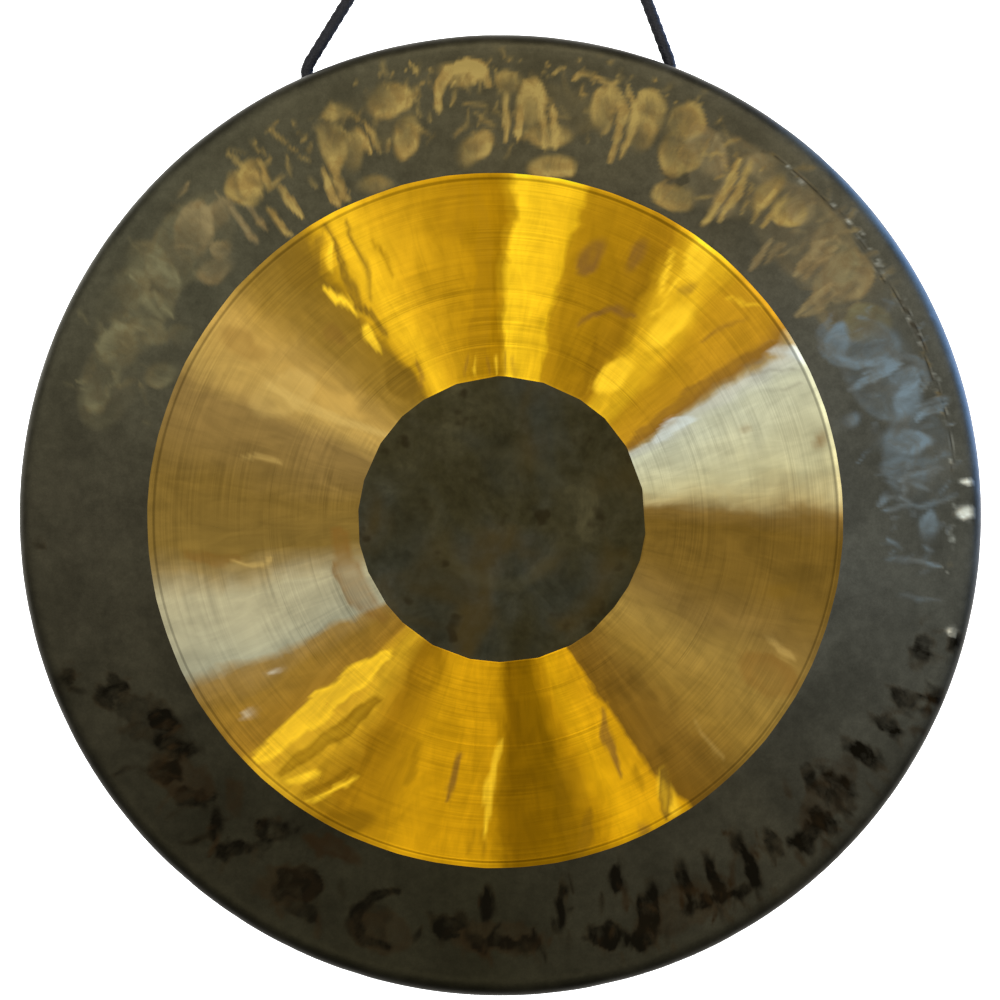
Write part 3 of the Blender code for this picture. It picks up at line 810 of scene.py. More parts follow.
def plate_mesh():
    lines = turned_lines()
    surface = Surface(lines)
    surface.add_hammering()
    surface.add_marks()
    places = surface.metres()
    starts = surface.starts
    faces = []
    parts = []
    patches = []
    dropped = set()
    for side, clock in HOLE_CLOCK.items():
        for radius in (RADIUS, RADIUS - SHEET):
            border, inside = hole_patch(starts, lines, radius, clock)
            patches.append((side, radius, border))
            dropped |= inside
    for number, (first, second) in enumerate(zip(lines, lines[1:])):
        made = line_faces(int(starts[number]), first[3], int(starts[number + 1]), second[3])
        middle = (first[0] + second[0]) / 2
        facing = first[2] if first[2] in (0, 180) and second[2] in (0, 180) else 90
        if dropped and first[0] == second[0] and facing == 90:
            made = [face for face in made if not dropped.intersection(face)]
        faces += made
        parts += [part_of(middle, facing)] * len(made)
    for pole, line, back in ((-CROWN, 0, False), (SHEET - CROWN, len(lines) - 1, True)):
        centre = len(places)
        middle = (DISC_SHIFT[0] * MM, pole * MM, DISC_SHIFT[1] * MM) if not back else (0, pole * MM, 0)
        places = np.vstack([places, [middle]])
        start, steps = int(starts[line]), lines[line][3]
        for k in range(steps):
            corner = (start + k, start + (k + 1) % steps)
            faces.append((centre, *corner[::-1]) if not back else (centre, *corner))
            parts.append(2)
    places, added = add_holes(places, patches)
    faces += added
    parts += [0] * len(added)
    return places, faces, parts, surface


def add_holes(places, patches):
    """Closes each patch onto a round hole, and joins the two ends of each hole."""
    faces = []
    mouths = {}
    for side, radius, border in patches:
        clock = np.radians(HOLE_CLOCK[side])
        out = np.array([np.sin(clock), 0, np.cos(clock)])
        across = np.array([np.cos(clock), 0, -np.sin(clock)])
        rims = []
        for reach, sink in ((HOLE_RADIUS + 0.5, 0.0), (HOLE_RADIUS, 0.35)):
            rim = []
            for vertex in border:
                point = places[vertex] / MM
                angle = np.arctan2(point[1] - HOLE_DEPTH, point @ across)
                sign = -1 if radius == RADIUS else 1
                arc = radius + sign * sink
                spot = out * arc + across * reach * np.cos(angle)
                spot[1] = HOLE_DEPTH + reach * np.sin(angle)
                rim.append(len(places))
                places = np.vstack([places, [spot * MM]])
            rims.append(rim)
        rings = [border, *rims]
        for outer, inner in zip(rings, rings[1:]):
            for k in range(len(border)):
                after = (k + 1) % len(border)
                face = (outer[k], outer[after], inner[after], inner[k])
                faces.append(face if radius == RADIUS else face[::-1])
        mouths[side, radius] = rims[-1]
    for side in HOLE_CLOCK:
        outer = mouths[side, RADIUS]
        inner = mouths[side, RADIUS - SHEET]
        for k in range(len(outer)):
            after = (k + 1) % len(outer)
            faces.append((outer[k], outer[after], inner[after], inner[k]))
    return places, faces


def add_attribute(mesh, name, values):
    """A colour for each vertex; vertices past the end of the values stay clear."""
    full = np.zeros((len(mesh.vertices), 4), np.float32)
    full[: len(values)] = values
    mesh.color_attributes.new(name, "FLOAT_COLOR", "POINT").data.foreach_set("color", full.ravel())


def plate_matrix(frame):
    """Where the frame's plate stands: turned about the line through its cord holes."""
    rock = next(joint for joint in frame["joints"] if joint["name"] == "gong_rock")
    edge = next(mount for mount in frame["record"]["mounts"] if mount["name"] == "rim_back_edge")
    line = Vector(rock["axis"]).normalized()
    tilt = Vector((0, 1, 0)).angle(Vector(edge["axis"]))
    turn = Matrix.Rotation(tilt, 4, line)
    spot = Vector((0, RIM_DEPTH, SHEET / 2 - RADIUS)) * MM
    return Matrix.Translation(Vector(edge["pos_m"]) - turn @ spot) @ turn


def make_plate(frame, materials):
    places, faces, parts, surface = plate_mesh()
    mesh = bpy.data.meshes.new("bronze_plate")
    mesh.from_pydata(places.tolist(), [], faces)
    mesh.polygons.foreach_set("material_index", parts)
    mesh.shade_smooth()
    for material in materials:
        mesh.materials.append(material)
    tint = surface.colour / surface.weight[:, None]
    add_attribute(mesh, "mark", np.column_stack([tint, surface.cover]))
    lathe = mesh.attributes.new("lathe_radius", "FLOAT", "POINT")
    reach = np.zeros(len(mesh.vertices), np.float32)
    reach[: surface.size] = surface.radius * MM
    lathe.data.foreach_set("value", reach)
    plate = bpy.data.objects.new("bronze_plate", mesh)
    bpy.context.scene.collection.objects.link(plate)
    plate.matrix_world = plate_matrix(frame)
    return plate


# ------------------------------------------------------------------ materials


class Graph:
    """Short calls that add shader nodes to one material."""

    def __init__(self, name):
        self.material = bpy.data.materials.new(name)
        self.material.use_nodes = True
        self.nodes = self.material.node_tree.nodes
        self.links = self.material.node_tree.links
        self.shader = self.nodes["Principled BSDF"]

    def put(self, socket, value):
        if isinstance(value, bpy.types.NodeSocket):
            self.links.new(value, socket)
        elif isinstance(value, tuple) and len(value) == 3 and socket.type == "RGBA":
            socket.default_value = (*value, 1.0)
        else:
            socket.default_value = value

    def surface(self, **values):
        """Sets the shader's sockets, such as base_color or roughness."""
        for name, value in values.items():
            self.put(self.shader.inputs[name.replace("_", " ").title().replace("Ior", "IOR")], value)

    def math(self, operation, *values, clamp=False):
        node = self.nodes.new("ShaderNodeMath")
        node.operation = operation
        node.use_clamp = clamp
        for socket, value in zip(node.inputs, values):
            self.put(socket, value)
        return node.outputs[0]

    def vector(self, operation, *values):
        node = self.nodes.new("ShaderNodeVectorMath")
        node.operation = operation
        for socket, value in zip(node.inputs, values):
            self.put(socket, value)
        return node.outputs["Value" if operation in ("LENGTH", "DOT_PRODUCT") else "Vector"]

    def mix(self, share, first, second, blend="MIX"):
        node = self.nodes.new("ShaderNodeMix")
        node.data_type = "RGBA"
        node.blend_type = blend
        self.put(node.inputs["Factor"], share)
        self.put(node.inputs["A"], first)
        self.put(node.inputs["B"], second)
        return node.outputs["Result"]

    def between(self, value, low, high, to_low=0.0, to_high=1.0):
        """Carries a value from one range to another, smoothly and no further."""
        node = self.nodes.new("ShaderNodeMapRange")
        node.interpolation_type = "SMOOTHSTEP"
        for socket, number in zip(node.inputs, (value, low, high, to_low, to_high)):
            self.put(socket, number)
        return node.outputs[0]

    def noise(self, vector, scale, detail=3.0, roughness=0.5, distortion=0.0):
        node = self.nodes.new("ShaderNodeTexNoise")
        for name, value in (
            ("Vector", vector),
            ("Scale", scale),
            ("Detail", detail),
            ("Roughness", roughness),
            ("Distortion", distortion),
        ):
            self.put(node.inputs[name], value)
        return node.outputs["Fac"]

    def ramp(self, value, stops):
        """Colours along a value; a stop is (place, colour), a colour three numbers."""
        node = self.nodes.new("ShaderNodeValToRGB")
        elements = node.color_ramp.elements
        elements[0].position = stops[0][0]
        elements[-1].position = stops[-1][0]
        elements[0].color = (*stops[0][1], 1)
        elements[-1].color = (*stops[-1][1], 1)
        for place, colour in stops[1:-1]:
            elements.new(place).color = (*colour, 1)
        self.put(node.inputs[0], value)
        return node.outputs[0]

    def long_ramp(self, value, stops, middle):
        """The same for more stops than one node holds, halved at a stop in the middle."""
        low = [stop for stop in stops if stop[0] <= middle]
        high = [stop for stop in stops if stop[0] >= middle]
        past = self.math("GREATER_THAN", value, middle)
        return self.mix(past, self.ramp(value, low), self.ramp(value, high))

    def bump(self, height, strength, distance):
        node = self.nodes.new("ShaderNodeBump")
        self.put(node.inputs["Strength"], strength)
        self.put(node.inputs["Distance"], distance)
        self.put(node.inputs["Height"], height)
        return node.outputs[0]

    def place(self):
        return self.nodes.new("ShaderNodeTexCoord").outputs["Object"]

    def attribute(self, name):
        node = self.nodes.new("ShaderNodeAttribute")
        node.attribute_name = name
        return node.outputs["Color"], node.outputs["Alpha"]

    def number(self, name):
        """A number that the mesh carries at each vertex."""
        node = self.nodes.new("ShaderNodeAttribute")
        node.attribute_name = name
        return node.outputs["Fac"]

    def grey(self, value):
        """The same value on all three channels."""
        node = self.nodes.new("ShaderNodeCombineColor")
        for socket in node.inputs:
            self.put(socket, value)
        return node.outputs[0]

    def polar(self):
        """(clock as a share of a turn from the top, radius in metres, direction from the axis)."""
        place = self.place()
        flat = self.vector("MULTIPLY", place, (1.0, 0.0, 1.0))
        apart = self.nodes.new("ShaderNodeSeparateXYZ")
        self.put(apart.inputs[0], flat)
        turn = self.math("ARCTAN2", apart.outputs["X"], apart.outputs["Z"])
        clock = self.math("FRACT", self.math("ADD", self.math("DIVIDE", turn, 2 * pi), 1.0))
        return clock, self.vector("LENGTH", flat), self.vector("NORMALIZE", flat)

    def round_and_out(self, radius, direction, turns, lines):
        """A place for noise that changes so fast round the axis, and so fast along the radius."""
        spread = self.vector("SCALE", direction)
        spread.node.inputs["Scale"].default_value = turns
        joined = self.nodes.new("ShaderNodeCombineXYZ")
        self.put(joined.inputs["Y"], self.math("MULTIPLY", radius, lines))
        return self.vector("ADD", spread, joined.outputs[0])


# The ring's tint by clock angle: partly tarnish, partly painted reflection of the lights along the turning
# tool's grooves: cream sectors paint the blue sky light, gold ones the warm light from above and below, brown
# ones the dimmer room between
RING_TINTS_AND_REFLECTIONS = [
    (0, srgb(243, 196, 32)),
    (8, srgb(232, 184, 28)),
    (11.6, srgb(218, 172, 24)),
    (12.8, srgb(170, 126, 16)),
    (22, srgb(158, 116, 14)),
    (29.5, srgb(150, 109, 16)),
    (31.5, srgb(178, 134, 20)),
    (35, srgb(216, 170, 30)),
    (41, srgb(214, 168, 30)),
    (44.5, srgb(190, 142, 26)),
    (53.5, srgb(184, 136, 30)),
    (56.2, srgb(152, 110, 34)),
    (57.6, srgb(160, 136, 84)),
    (59.2, srgb(190, 192, 178)),
    (62.5, srgb(188, 190, 164)),
    (70, srgb(190, 188, 154)),
    (77, srgb(190, 184, 142)),
    (81.7, srgb(178, 162, 112)),
    (84.9, srgb(124, 98, 48)),
    (90, srgb(112, 86, 32)),
    (103, srgb(116, 90, 36)),
    (112, srgb(128, 102, 50)),
    (121, srgb(150, 122, 58)),
    (132, srgb(142, 112, 46)),
    (138, srgb(120, 90, 32)),
    (147.8, srgb(122, 88, 24)),
    (149, srgb(208, 154, 18)),
    (158, srgb(218, 164, 16)),
    (162, srgb(186, 136, 11)),
    (166, srgb(132, 95, 4)),
    (176.5, srgb(130, 92, 4)),
    (180, srgb(206, 152, 14)),
    (188, srgb(214, 158, 15)),
    (195, srgb(210, 156, 17)),
    (200, srgb(180, 132, 16)),
    (208, srgb(158, 114, 16)),
    (211.5, srgb(190, 144, 28)),
    (216, srgb(216, 170, 38)),
    (220, srgb(208, 160, 38)),
    (222.5, srgb(156, 116, 36)),
    (231, srgb(140, 108, 42)),
    (235, srgb(148, 120, 66)),
    (237.5, srgb(164, 162, 136)),
    (252, srgb(172, 164, 130)),
    (257, srgb(144, 124, 78)),
    (261, srgb(124, 100, 46)),
    (274, srgb(122, 97, 43)),
    (283, srgb(128, 103, 54)),
    (291, srgb(136, 110, 60)),
    (296, srgb(180, 148, 78)),
    (305, srgb(188, 152, 76)),
    (312, srgb(150, 118, 46)),
    (324.2, srgb(134, 102, 26)),
    (325.6, srgb(196, 150, 26)),
    (331, srgb(236, 186, 32)),
    (337, srgb(212, 162, 26)),
    (345, srgb(186, 139, 18)),
    (355, srgb(170, 124, 10)),
    (358.4, srgb(154, 112, 9)),
    (359.2, srgb(240, 193, 31)),
    (360, srgb(243, 196, 32)),
]

# How far in degrees the tint's borders lean round the axis between the disc and the rim
TINT_LEAN = [
    (0, 0), (30, 2), (57, 4.5), (70, 0), (84, -4.2), (110, 0), (147, 7.4), (165, 3),
    (180, 0), (210, -3), (236, -8.6), (262, -2), (290, 0), (323, 3.7), (345, 1), (360, 0),
]

# Painted highlight on the ring's raised border: how much brighter, and at the bottom darker, it is painted
# than the metal beside it, by clock angle
RING_BORDER_HIGHLIGHT = [
    (0, 1.6), (30, 1.9), (60, 1.75), (87, 1.5), (90, 0.8),
    (180, 0.8), (215, 0.9), (300, 1.0), (322, 1.5), (360, 1.5),
]


def ring_material():
    """Bronze as the lathe left it: fine rings, with sectors of painted reflection and partly different
    tarnish, a painted highlight on the raised border and painted shade in the grooves.
    """
    graph = Graph("turned_bronze")
    clock, radius, direction = graph.polar()
    reach = graph.number("lathe_radius")
    slow = graph.noise(graph.round_and_out(radius, direction, 2.6, 15.0), 1.0, 2.0, 0.5)
    quick = graph.noise(graph.round_and_out(radius, direction, 8.0, 42.0), 1.0, 3.0, 0.55, 0.5)
    wander = graph.math("ADD", graph.math("MULTIPLY_ADD", slow, 0.022, -0.011),
                        graph.math("MULTIPLY_ADD", quick, 0.014, -0.007))
    across = graph.math("MULTIPLY_ADD", reach, 1 / ((RING_EDGE - DISC_EDGE) * MM),
                        (RING_EDGE + DISC_EDGE) / -2 / (RING_EDGE - DISC_EDGE))
    lean = graph.ramp(clock, [(angle / 360, (0.5 + v / 40,) * 3) for angle, v in TINT_LEAN])
    lean = graph.math("MULTIPLY", graph.math("MULTIPLY_ADD", lean, 40 / 360, -20 / 360), across)
    wander = graph.math("ADD", wander, lean)
    turned = graph.math("FRACT", graph.math("ADD", graph.math("ADD", clock, wander), 1.0))
    # The sector tint: painted reflection, partly tarnish.
    tint = graph.long_ramp(turned, [(angle / 360, colour) for angle, colour in RING_TINTS_AND_REFLECTIONS], 180 / 360)
    streak = graph.noise(graph.round_and_out(radius, direction, 17.0, 26.0), 1.0, 3.0, 0.6, 0.9)
    broad = graph.noise(graph.round_and_out(radius, direction, 5.0, 30.0), 1.0, 2.0, 0.5, 1.2)
    lines = graph.noise(graph.round_and_out(reach, direction, 1.6, 640.0), 1.0, 2.0, 0.6)
    fade = graph.noise(graph.round_and_out(radius, direction, 3.0, 40.0), 1.0, 2.0, 0.5)
    shade = graph.math("MULTIPLY", graph.between(streak, 0.25, 0.75, 0.83, 1.04),
                       graph.between(broad, 0.3, 0.7, 0.85, 1.04))
    depth = graph.between(fade, 0.35, 0.65, 0.0, 1.0)
    cut = graph.mix(depth, graph.grey(1.0), graph.grey(graph.between(lines, 0.3, 0.7, 0.84, 1.1)))
    colour = graph.mix(1.0, graph.mix(1.0, tint, graph.grey(shade), "MULTIPLY"), cut, "MULTIPLY")
    mark, cover = graph.attribute("mark")
    # Where the ring's marks show, broken up by the streaks: painted reflections.
    mark_breakup = graph.math("MULTIPLY", cover, graph.between(streak, 0.25, 0.7, 0.75, 1.1), clamp=True)
    colour = graph.mix(mark_breakup, colour, graph.mix(1.0, mark, cut, "MULTIPLY"))
    # Painted shade: darker lines along the edge groove and beside the strong grooves.
    border = graph.math("ABSOLUTE", graph.math("SUBTRACT", reach, EDGE_GROOVE * MM))
    groove_shade = graph.between(border, 0.0003, 0.0011, 0.6, 1.0)
    for centre in STRONG_GROOVES:
        for side in (-0.55, 0.55):
            apart = graph.math("ABSOLUTE", graph.math("SUBTRACT", reach, (centre + side) * MM))
            broken = graph.math("MULTIPLY", graph.between(apart, 0.0001, 0.0006, 1.0, 0.0), depth)
            groove_shade = graph.math("MULTIPLY", groove_shade, graph.math("MULTIPLY_ADD", broken, -0.17, 1.0))
    colour = graph.mix(1.0, colour, graph.grey(groove_shade), "MULTIPLY")
    # Painted highlight, and painted shade at the bottom, on the raised border at the ring's outer edge.
    lit = graph.ramp(clock, [(angle / 360, (v, v, v)) for angle, v in RING_BORDER_HIGHLIGHT])
    brim = graph.between(reach, (RING_EDGE - 2.3) * MM, (RING_EDGE - 1.6) * MM, 0.0, 1.0)
    colour = graph.mix(brim, colour, graph.mix(1.0, colour, lit, "MULTIPLY"))
    tangent = graph.nodes.new("ShaderNodeTangent")
    tangent.direction_type = "RADIAL"
    tangent.axis = "Y"
    graph.surface(
        base_color=colour,
        metallic=1.0,
        roughness=graph.between(streak, 0.2, 0.8, 0.27, 0.36),
        anisotropic=0.8,
        tangent=tangent.outputs[0],
        normal=graph.bump(lines, 0.3, 0.0002),
    )
    return graph.material


def oxide_material():
    """The dark fire skin of the rim, with the hammer's marks from the mesh; painted lighter at the top,
    blue-grey on the right and darker at the bottom, partly painted light.
    """
    graph = Graph("oxidised_bronze")
    clock, radius, direction = graph.polar()
    place = graph.place()
    # Tint by clock angle: the oxide's own tone with painted light: lighter at the top, blue-grey on the right
    # where the sky light falls, darker at the bottom.
    tint = graph.ramp(clock, [
        (0.0, srgb(72, 67, 49)),
        (0.1, srgb(74, 70, 55)),
        (0.18, srgb(74, 74, 66)),
        (0.27, srgb(69, 70, 64)),
        (0.38, srgb(52, 50, 40)),
        (0.5, srgb(38, 36, 25)),
        (0.62, srgb(39, 37, 27)),
        (0.75, srgb(60, 57, 45)),
        (0.85, srgb(72, 70, 55)),
        (1.0, srgb(72, 67, 49)),
    ])
    mottle = graph.noise(place, 26.0, 5.0, 0.6, 0.3)
    fine = graph.noise(place, 160.0, 4.0, 0.65)
    grain = graph.noise(place, 900.0, 2.0, 0.5)
    shade = graph.math("MULTIPLY", graph.between(mottle, 0.3, 0.7, 0.76, 1.16),
                       graph.between(fine, 0.3, 0.7, 0.88, 1.1))
    shade = graph.math("MULTIPLY", shade, graph.between(grain, 0.2, 0.8, 0.92, 1.08))
    skin = graph.mix(1.0, tint, graph.grey(shade), "MULTIPLY")
    mark, cover = graph.attribute("mark")
    patchy = graph.noise(place, 75.0, 5.0, 0.62, 0.5)
    mark_breakup = graph.noise(graph.round_and_out(radius, direction, 30.0, 60.0), 1.0, 4.0, 0.6, 0.8)
    # The marks: bare metal where the oxide is off, in tones that are partly painted reflection and painted
    # shade.
    wear_and_reflection = graph.math("MULTIPLY", cover, graph.between(patchy, 0.3, 0.65, 0.74, 1.2))
    wear_and_reflection = graph.math("MULTIPLY", wear_and_reflection, graph.between(mark_breakup, 0.3, 0.6, 0.78, 1.16), clamp=True)
    halfway = graph.math("MULTIPLY", wear_and_reflection, graph.math("SUBTRACT", 1.0, wear_and_reflection))
    # Painted highlight: where a mark is half worn, mostly along its edges, the colour turns warm reddish,
    # standing for the lit edges of the dents.
    warm_lit_edge = graph.math("MULTIPLY", halfway, graph.between(patchy, 0.35, 0.6, 2.6, 0.4), clamp=True)
    colour = graph.mix(wear_and_reflection, skin, mark)
    colour = graph.mix(warm_lit_edge, colour, graph.mix(1.0, colour, (1.1, 0.92, 0.76), "MULTIPLY"))
    height = graph.math("ADD", graph.math("MULTIPLY", fine, 0.6), graph.math("MULTIPLY", grain, 0.2))
    graph.surface(
        base_color=colour,
        metallic=1.0,
        roughness=graph.between(mottle, 0.3, 0.7, 0.34, 0.48),
        normal=graph.bump(height, 0.3, 0.0005),
    )
    return graph.material


def disc_material():
    """The dark centre: the same fire skin, cool and warm in patches, with a faint ring and burnt spots."""
    graph = Graph("oxidised_centre")
    place = graph.place()
    radius = graph.polar()[1]
    mottle = graph.noise(place, 30.0, 5.0, 0.62, 0.6)
    fine = graph.noise(place, 180.0, 4.0, 0.6)
    warm = graph.noise(place, 15.0, 3.0, 0.5, 0.4)
    cool = graph.noise(place, 9.0, 3.0, 0.55, 0.6)
    colour = graph.ramp(mottle, [
        (0.3, srgb(40, 36, 20)),
        (0.45, srgb(50, 46, 28)),
        (0.58, srgb(57, 53, 35)),
        (0.72, srgb(72, 67, 45)),
    ])
    faint = graph.between(fine, 0.3, 0.7, 0.86, 1.12)
    colour = graph.mix(1.0, colour, graph.grey(faint), "MULTIPLY")
    cooler = graph.mix(1.0, colour, (0.95, 1.12, 1.75), "MULTIPLY")
    colour = graph.mix(graph.between(cool, 0.44, 0.6, 0.0, 0.85), colour, cooler)
    colour = graph.mix(graph.between(warm, 0.5, 0.68, 0.0, 0.6), colour, srgb(66, 52, 18))
    wavy = graph.math("MULTIPLY_ADD", warm, 0.014, radius)
    ring = graph.math("ABSOLUTE", graph.math("SUBTRACT", wavy, 0.045))
    ring = graph.math("MULTIPLY", graph.between(ring, 0.001, 0.006, 0.22, 0.0), graph.between(cool, 0.4, 0.6))
    colour = graph.mix(ring, colour, srgb(80, 74, 50))
    spots = graph.noise(place, 58.0, 2.0, 0.5)
    colour = graph.mix(graph.between(spots, 0.62, 0.72, 0.0, 0.6), colour, srgb(32, 25, 12))
    graph.surface(
        base_color=colour,
        metallic=1.0,
        roughness=graph.between(mottle, 0.3, 0.7, 0.4, 0.52),
        normal=graph.bump(fine, 0.25, 0.0004),
    )
    return graph.material


# ----------------------------------------------------------------- the stage


def add_object(name, data):
    item = bpy.data.objects.new(name, data)
    bpy.context.scene.collection.objects.link(item)
    return item


def make_camera(target):
    pitch = radians(CAMERA_PITCH)
    aim = Vector((0, cos(pitch), sin(pitch)))
    data = bpy.data.cameras.new("camera")
    data.sensor_width = SENSOR
    data.lens = SENSOR * CAMERA_DISTANCE / VIEW_WIDTH
    camera = add_object("camera", data)
    look = aim.to_track_quat("-Z", "Y").to_matrix().to_4x4()
    camera.matrix_world = (
        Matrix.Translation(target - aim * CAMERA_DISTANCE)
        @ look
        @ Matrix.Rotation(radians(CAMERA_ROLL), 4, "Z")
    )
    bpy.context.scene.camera = camera


def make_stage(low, centre):
    """One pale sheet: a round floor that bends up into a wall on every side, past all the cameras."""
    data = bpy.data.meshes.new("studio_sweep")
    section = [(0.02, 0.0), (1.5, 0.0), (STAGE_RADIUS - STAGE_BEND, 0.0)]
    section += [(STAGE_RADIUS - STAGE_BEND * (1 - sin(t)), STAGE_BEND * (1 - cos(t)))
                for t in np.linspace(0.15, pi / 2, 12)]
    section += [(STAGE_RADIUS, STAGE_HEIGHT)]
    turns = np.arange(STAGE_STEPS) * 2 * pi / STAGE_STEPS
    places = [(centre.x + radius * cos(t), centre.y + radius * sin(t), low + rise)
              for radius, rise in section for t in turns]
    faces = []
    for row in range(len(section) - 1):
        faces += line_faces(row * STAGE_STEPS, STAGE_STEPS, (row + 1) * STAGE_STEPS, STAGE_STEPS)
    faces.append(tuple(range(STAGE_STEPS)))
    data.from_pydata(places, [], faces)
    data.shade_smooth()
    graph = Graph("studio_white")
    graph.surface(base_color=(0.9, 0.9, 0.9), roughness=0.9, emission_color=(1.0, 1.0, 1.0),
                  emission_strength=0.8)
    data.materials.append(graph.material)
    sweep = add_object("studio_sweep", data)
    sweep.visible_glossy = False
    sweep.visible_shadow = False


def make_light(name, colour, power, size, place, target):
    data = bpy.data.lights.new(name, "AREA")
    data.shape = "RECTANGLE"
    data.color = colour
    data.energy = power
    data.size, data.size_y = size
    light = add_object(name, data)
    light.location = place
    light.visible_camera = False
    light.rotation_mode = "QUATERNION"
    light.rotation_quaternion = (target - Vector(place)).to_track_quat("-Z", "Y")


def make_world():
    """Soft room light: brightest a little above the camera and its mirror image behind, dim at the sides."""
    world = bpy.data.worlds.new("studio")
    world.use_nodes = True
    nodes = world.node_tree.nodes
    links = world.node_tree.links
    place = nodes.new("ShaderNodeTexCoord")
    apart = nodes.new("ShaderNodeSeparateXYZ")
    lift = nodes.new("ShaderNodeMath")
    lift.operation = "MULTIPLY_ADD"
    lift.inputs[1].default_value = 0.5
    lift.inputs[2].default_value = 0.5
    rise = nodes.new("ShaderNodeValToRGB")
    elements = rise.color_ramp.elements
    elements[0].color = (0.36, 0.35, 0.33, 1)
    elements[1].color = (0.42, 0.42, 0.42, 1)
    elements.new(0.38).color = (0.55, 0.54, 0.51, 1)
    elements.new(0.62).color = (0.95, 0.94, 0.91, 1)
    elements.new(0.80).color = (0.62, 0.62, 0.62, 1)
    links.new(place.outputs["Generated"], apart.inputs[0])
    links.new(apart.outputs["Z"], lift.inputs[0])
    links.new(lift.outputs[0], rise.inputs[0])
    links.new(rise.outputs[0], nodes["Background"].inputs["Color"])
    facing = nodes.new("ShaderNodeMath")
    facing.operation = "ABSOLUTE"
    strength = nodes.new("ShaderNodeMapRange")
    strength.interpolation_type = "SMOOTHSTEP"
    for socket, number in zip(strength.inputs[1:5], (0.0, 0.66, 0.55, 1.75)):
        socket.default_value = number
    links.new(apart.outputs["Y"], facing.inputs[0])
    links.new(facing.outputs[0], strength.inputs[0])
    links.new(strength.outputs[0], nodes["Background"].inputs["Strength"])
    bpy.context.scene.world = world


def make_lights(target):
    make_light("top_softbox", (1.0, 0.96, 0.88), 6, (1.6, 0.8), target + Vector((0.15, -1.2, 1.7)), target)
    make_light("sky_window", (0.13, 0.38, 1.0), 30, (1.6, 1.3), target + Vector((1.45, 0.5, 0.75)), target)
    make_light("low_fill", (1.0, 0.95, 0.86), 4, (1.4, 0.6), target + Vector((-0.3, -1.5, -1.2)), target)


# ---------------------------------------------------------------- cord braid


def leg_bend(side, clock):
    """One leg's points from inside its hole to the end of its bend, as (x, z)."""
    mirror = 1 if side == "left" else -1
    start = HOLE_SLANT - abs(clock)
    lean = LEG_LEAN[side]
    turn = lean - start
    hole_x = -HOLE_REACH * sin(abs(clock))
    hole_z = HOLE_REACH * cos(clock)
    across = (mirror * LEGS_MEET[0] - hole_x) * cos(lean)
    away = abs(across - (LEGS_MEET[1] - hole_z) * sin(lean))
    run = away / sin(turn) - CORD_BEND * tan(turn / 2)
    middle_x = hole_x + run * sin(start) + CORD_BEND * cos(start)
    middle_z = hole_z + run * cos(start) - CORD_BEND * sin(start)
    points = [(hole_x - CORD_TUCK * sin(start), hole_z - CORD_TUCK * cos(start))]
    for step in range(0 if run > 0 else 1, LEG_STEPS[side] + 1):
        angle = start + turn * step / LEG_STEPS[side]
        points.append((middle_x - CORD_BEND * cos(angle), middle_z + CORD_BEND * sin(angle)))
    return [(mirror * x, z) for x, z in points]


def straight_leg(start, end):
    return [(start[0] + (end[0] - start[0]) * share, start[1] + (end[1] - start[1]) * share)
            for share in LEG_SHARES]


def cord_route(clocks):
    """The cord's centreline as (x, z), from the left hole over the hook to the right hole."""
    first, last = pi - LEG_LEAN["left"], LEG_LEAN["right"]
    reach = CORD_BEND / sin((LEG_LEAN["left"] + LEG_LEAN["right"]) / 2)
    tilt = (LEG_LEAN["right"] - LEG_LEAN["left"]) / 2
    middle_x = LEGS_MEET[0] + reach * sin(tilt)
    middle_z = LEGS_MEET[1] - reach * cos(tilt)
    bight = []
    for step in range(BIGHT_STEPS + 1):
        angle = first + (last - first) * step / BIGHT_STEPS
        bight.append((middle_x + CORD_BEND * cos(angle), middle_z + CORD_BEND * sin(angle)))
    left = leg_bend("left", clocks["left"])
    right = leg_bend("right", clocks["right"])
    left += straight_leg(left[-1], bight[0])
    right += straight_leg(right[-1], bight[-1])
    return [(round(x, 5), round(z + ROUTE_LEVEL, 5)) for x, z in left + bight + right[::-1]]


def spline_point(p0, p1, p2, p3, share):
    """A point between p1 and p2 of the centripetal curve through all four."""
    t1 = (p1 - p0).length ** 0.5
    t2 = t1 + (p2 - p1).length ** 0.5
    t3 = t2 + (p3 - p2).length ** 0.5
    t = t1 + (t2 - t1) * share
    a1 = p0.lerp(p1, t / t1)
    a2 = p1.lerp(p2, (t - t1) / (t2 - t1))
    a3 = p2.lerp(p3, (t - t2) / (t3 - t2))
    b1 = a1.lerp(a2, t / t2)
    b2 = a2.lerp(a3, (t - t1) / (t3 - t1))
    return b1.lerp(b2, (t - t1) / (t2 - t1))


def even_path(route, step):
    """Points an even step apart along one smooth curve through the route."""
    ends = [route[0] * 2 - route[1], *route, route[-1] * 2 - route[-2]]
    dense = []
    for p0, p1, p2, p3 in zip(ends, ends[1:], ends[2:], ends[3:]):
        dense += [spline_point(p0, p1, p2, p3, k / 24) for k in range(24)]
    dense = np.array(dense + [route[-1]])
    run = np.concatenate([[0], np.cumsum(np.linalg.norm(np.diff(dense, axis=0), axis=1))])
    stations = np.linspace(0, run[-1], round(run[-1] / step) + 1)
    return np.stack([np.interp(stations, run, dense[:, k]) for k in range(3)], axis=1), stations


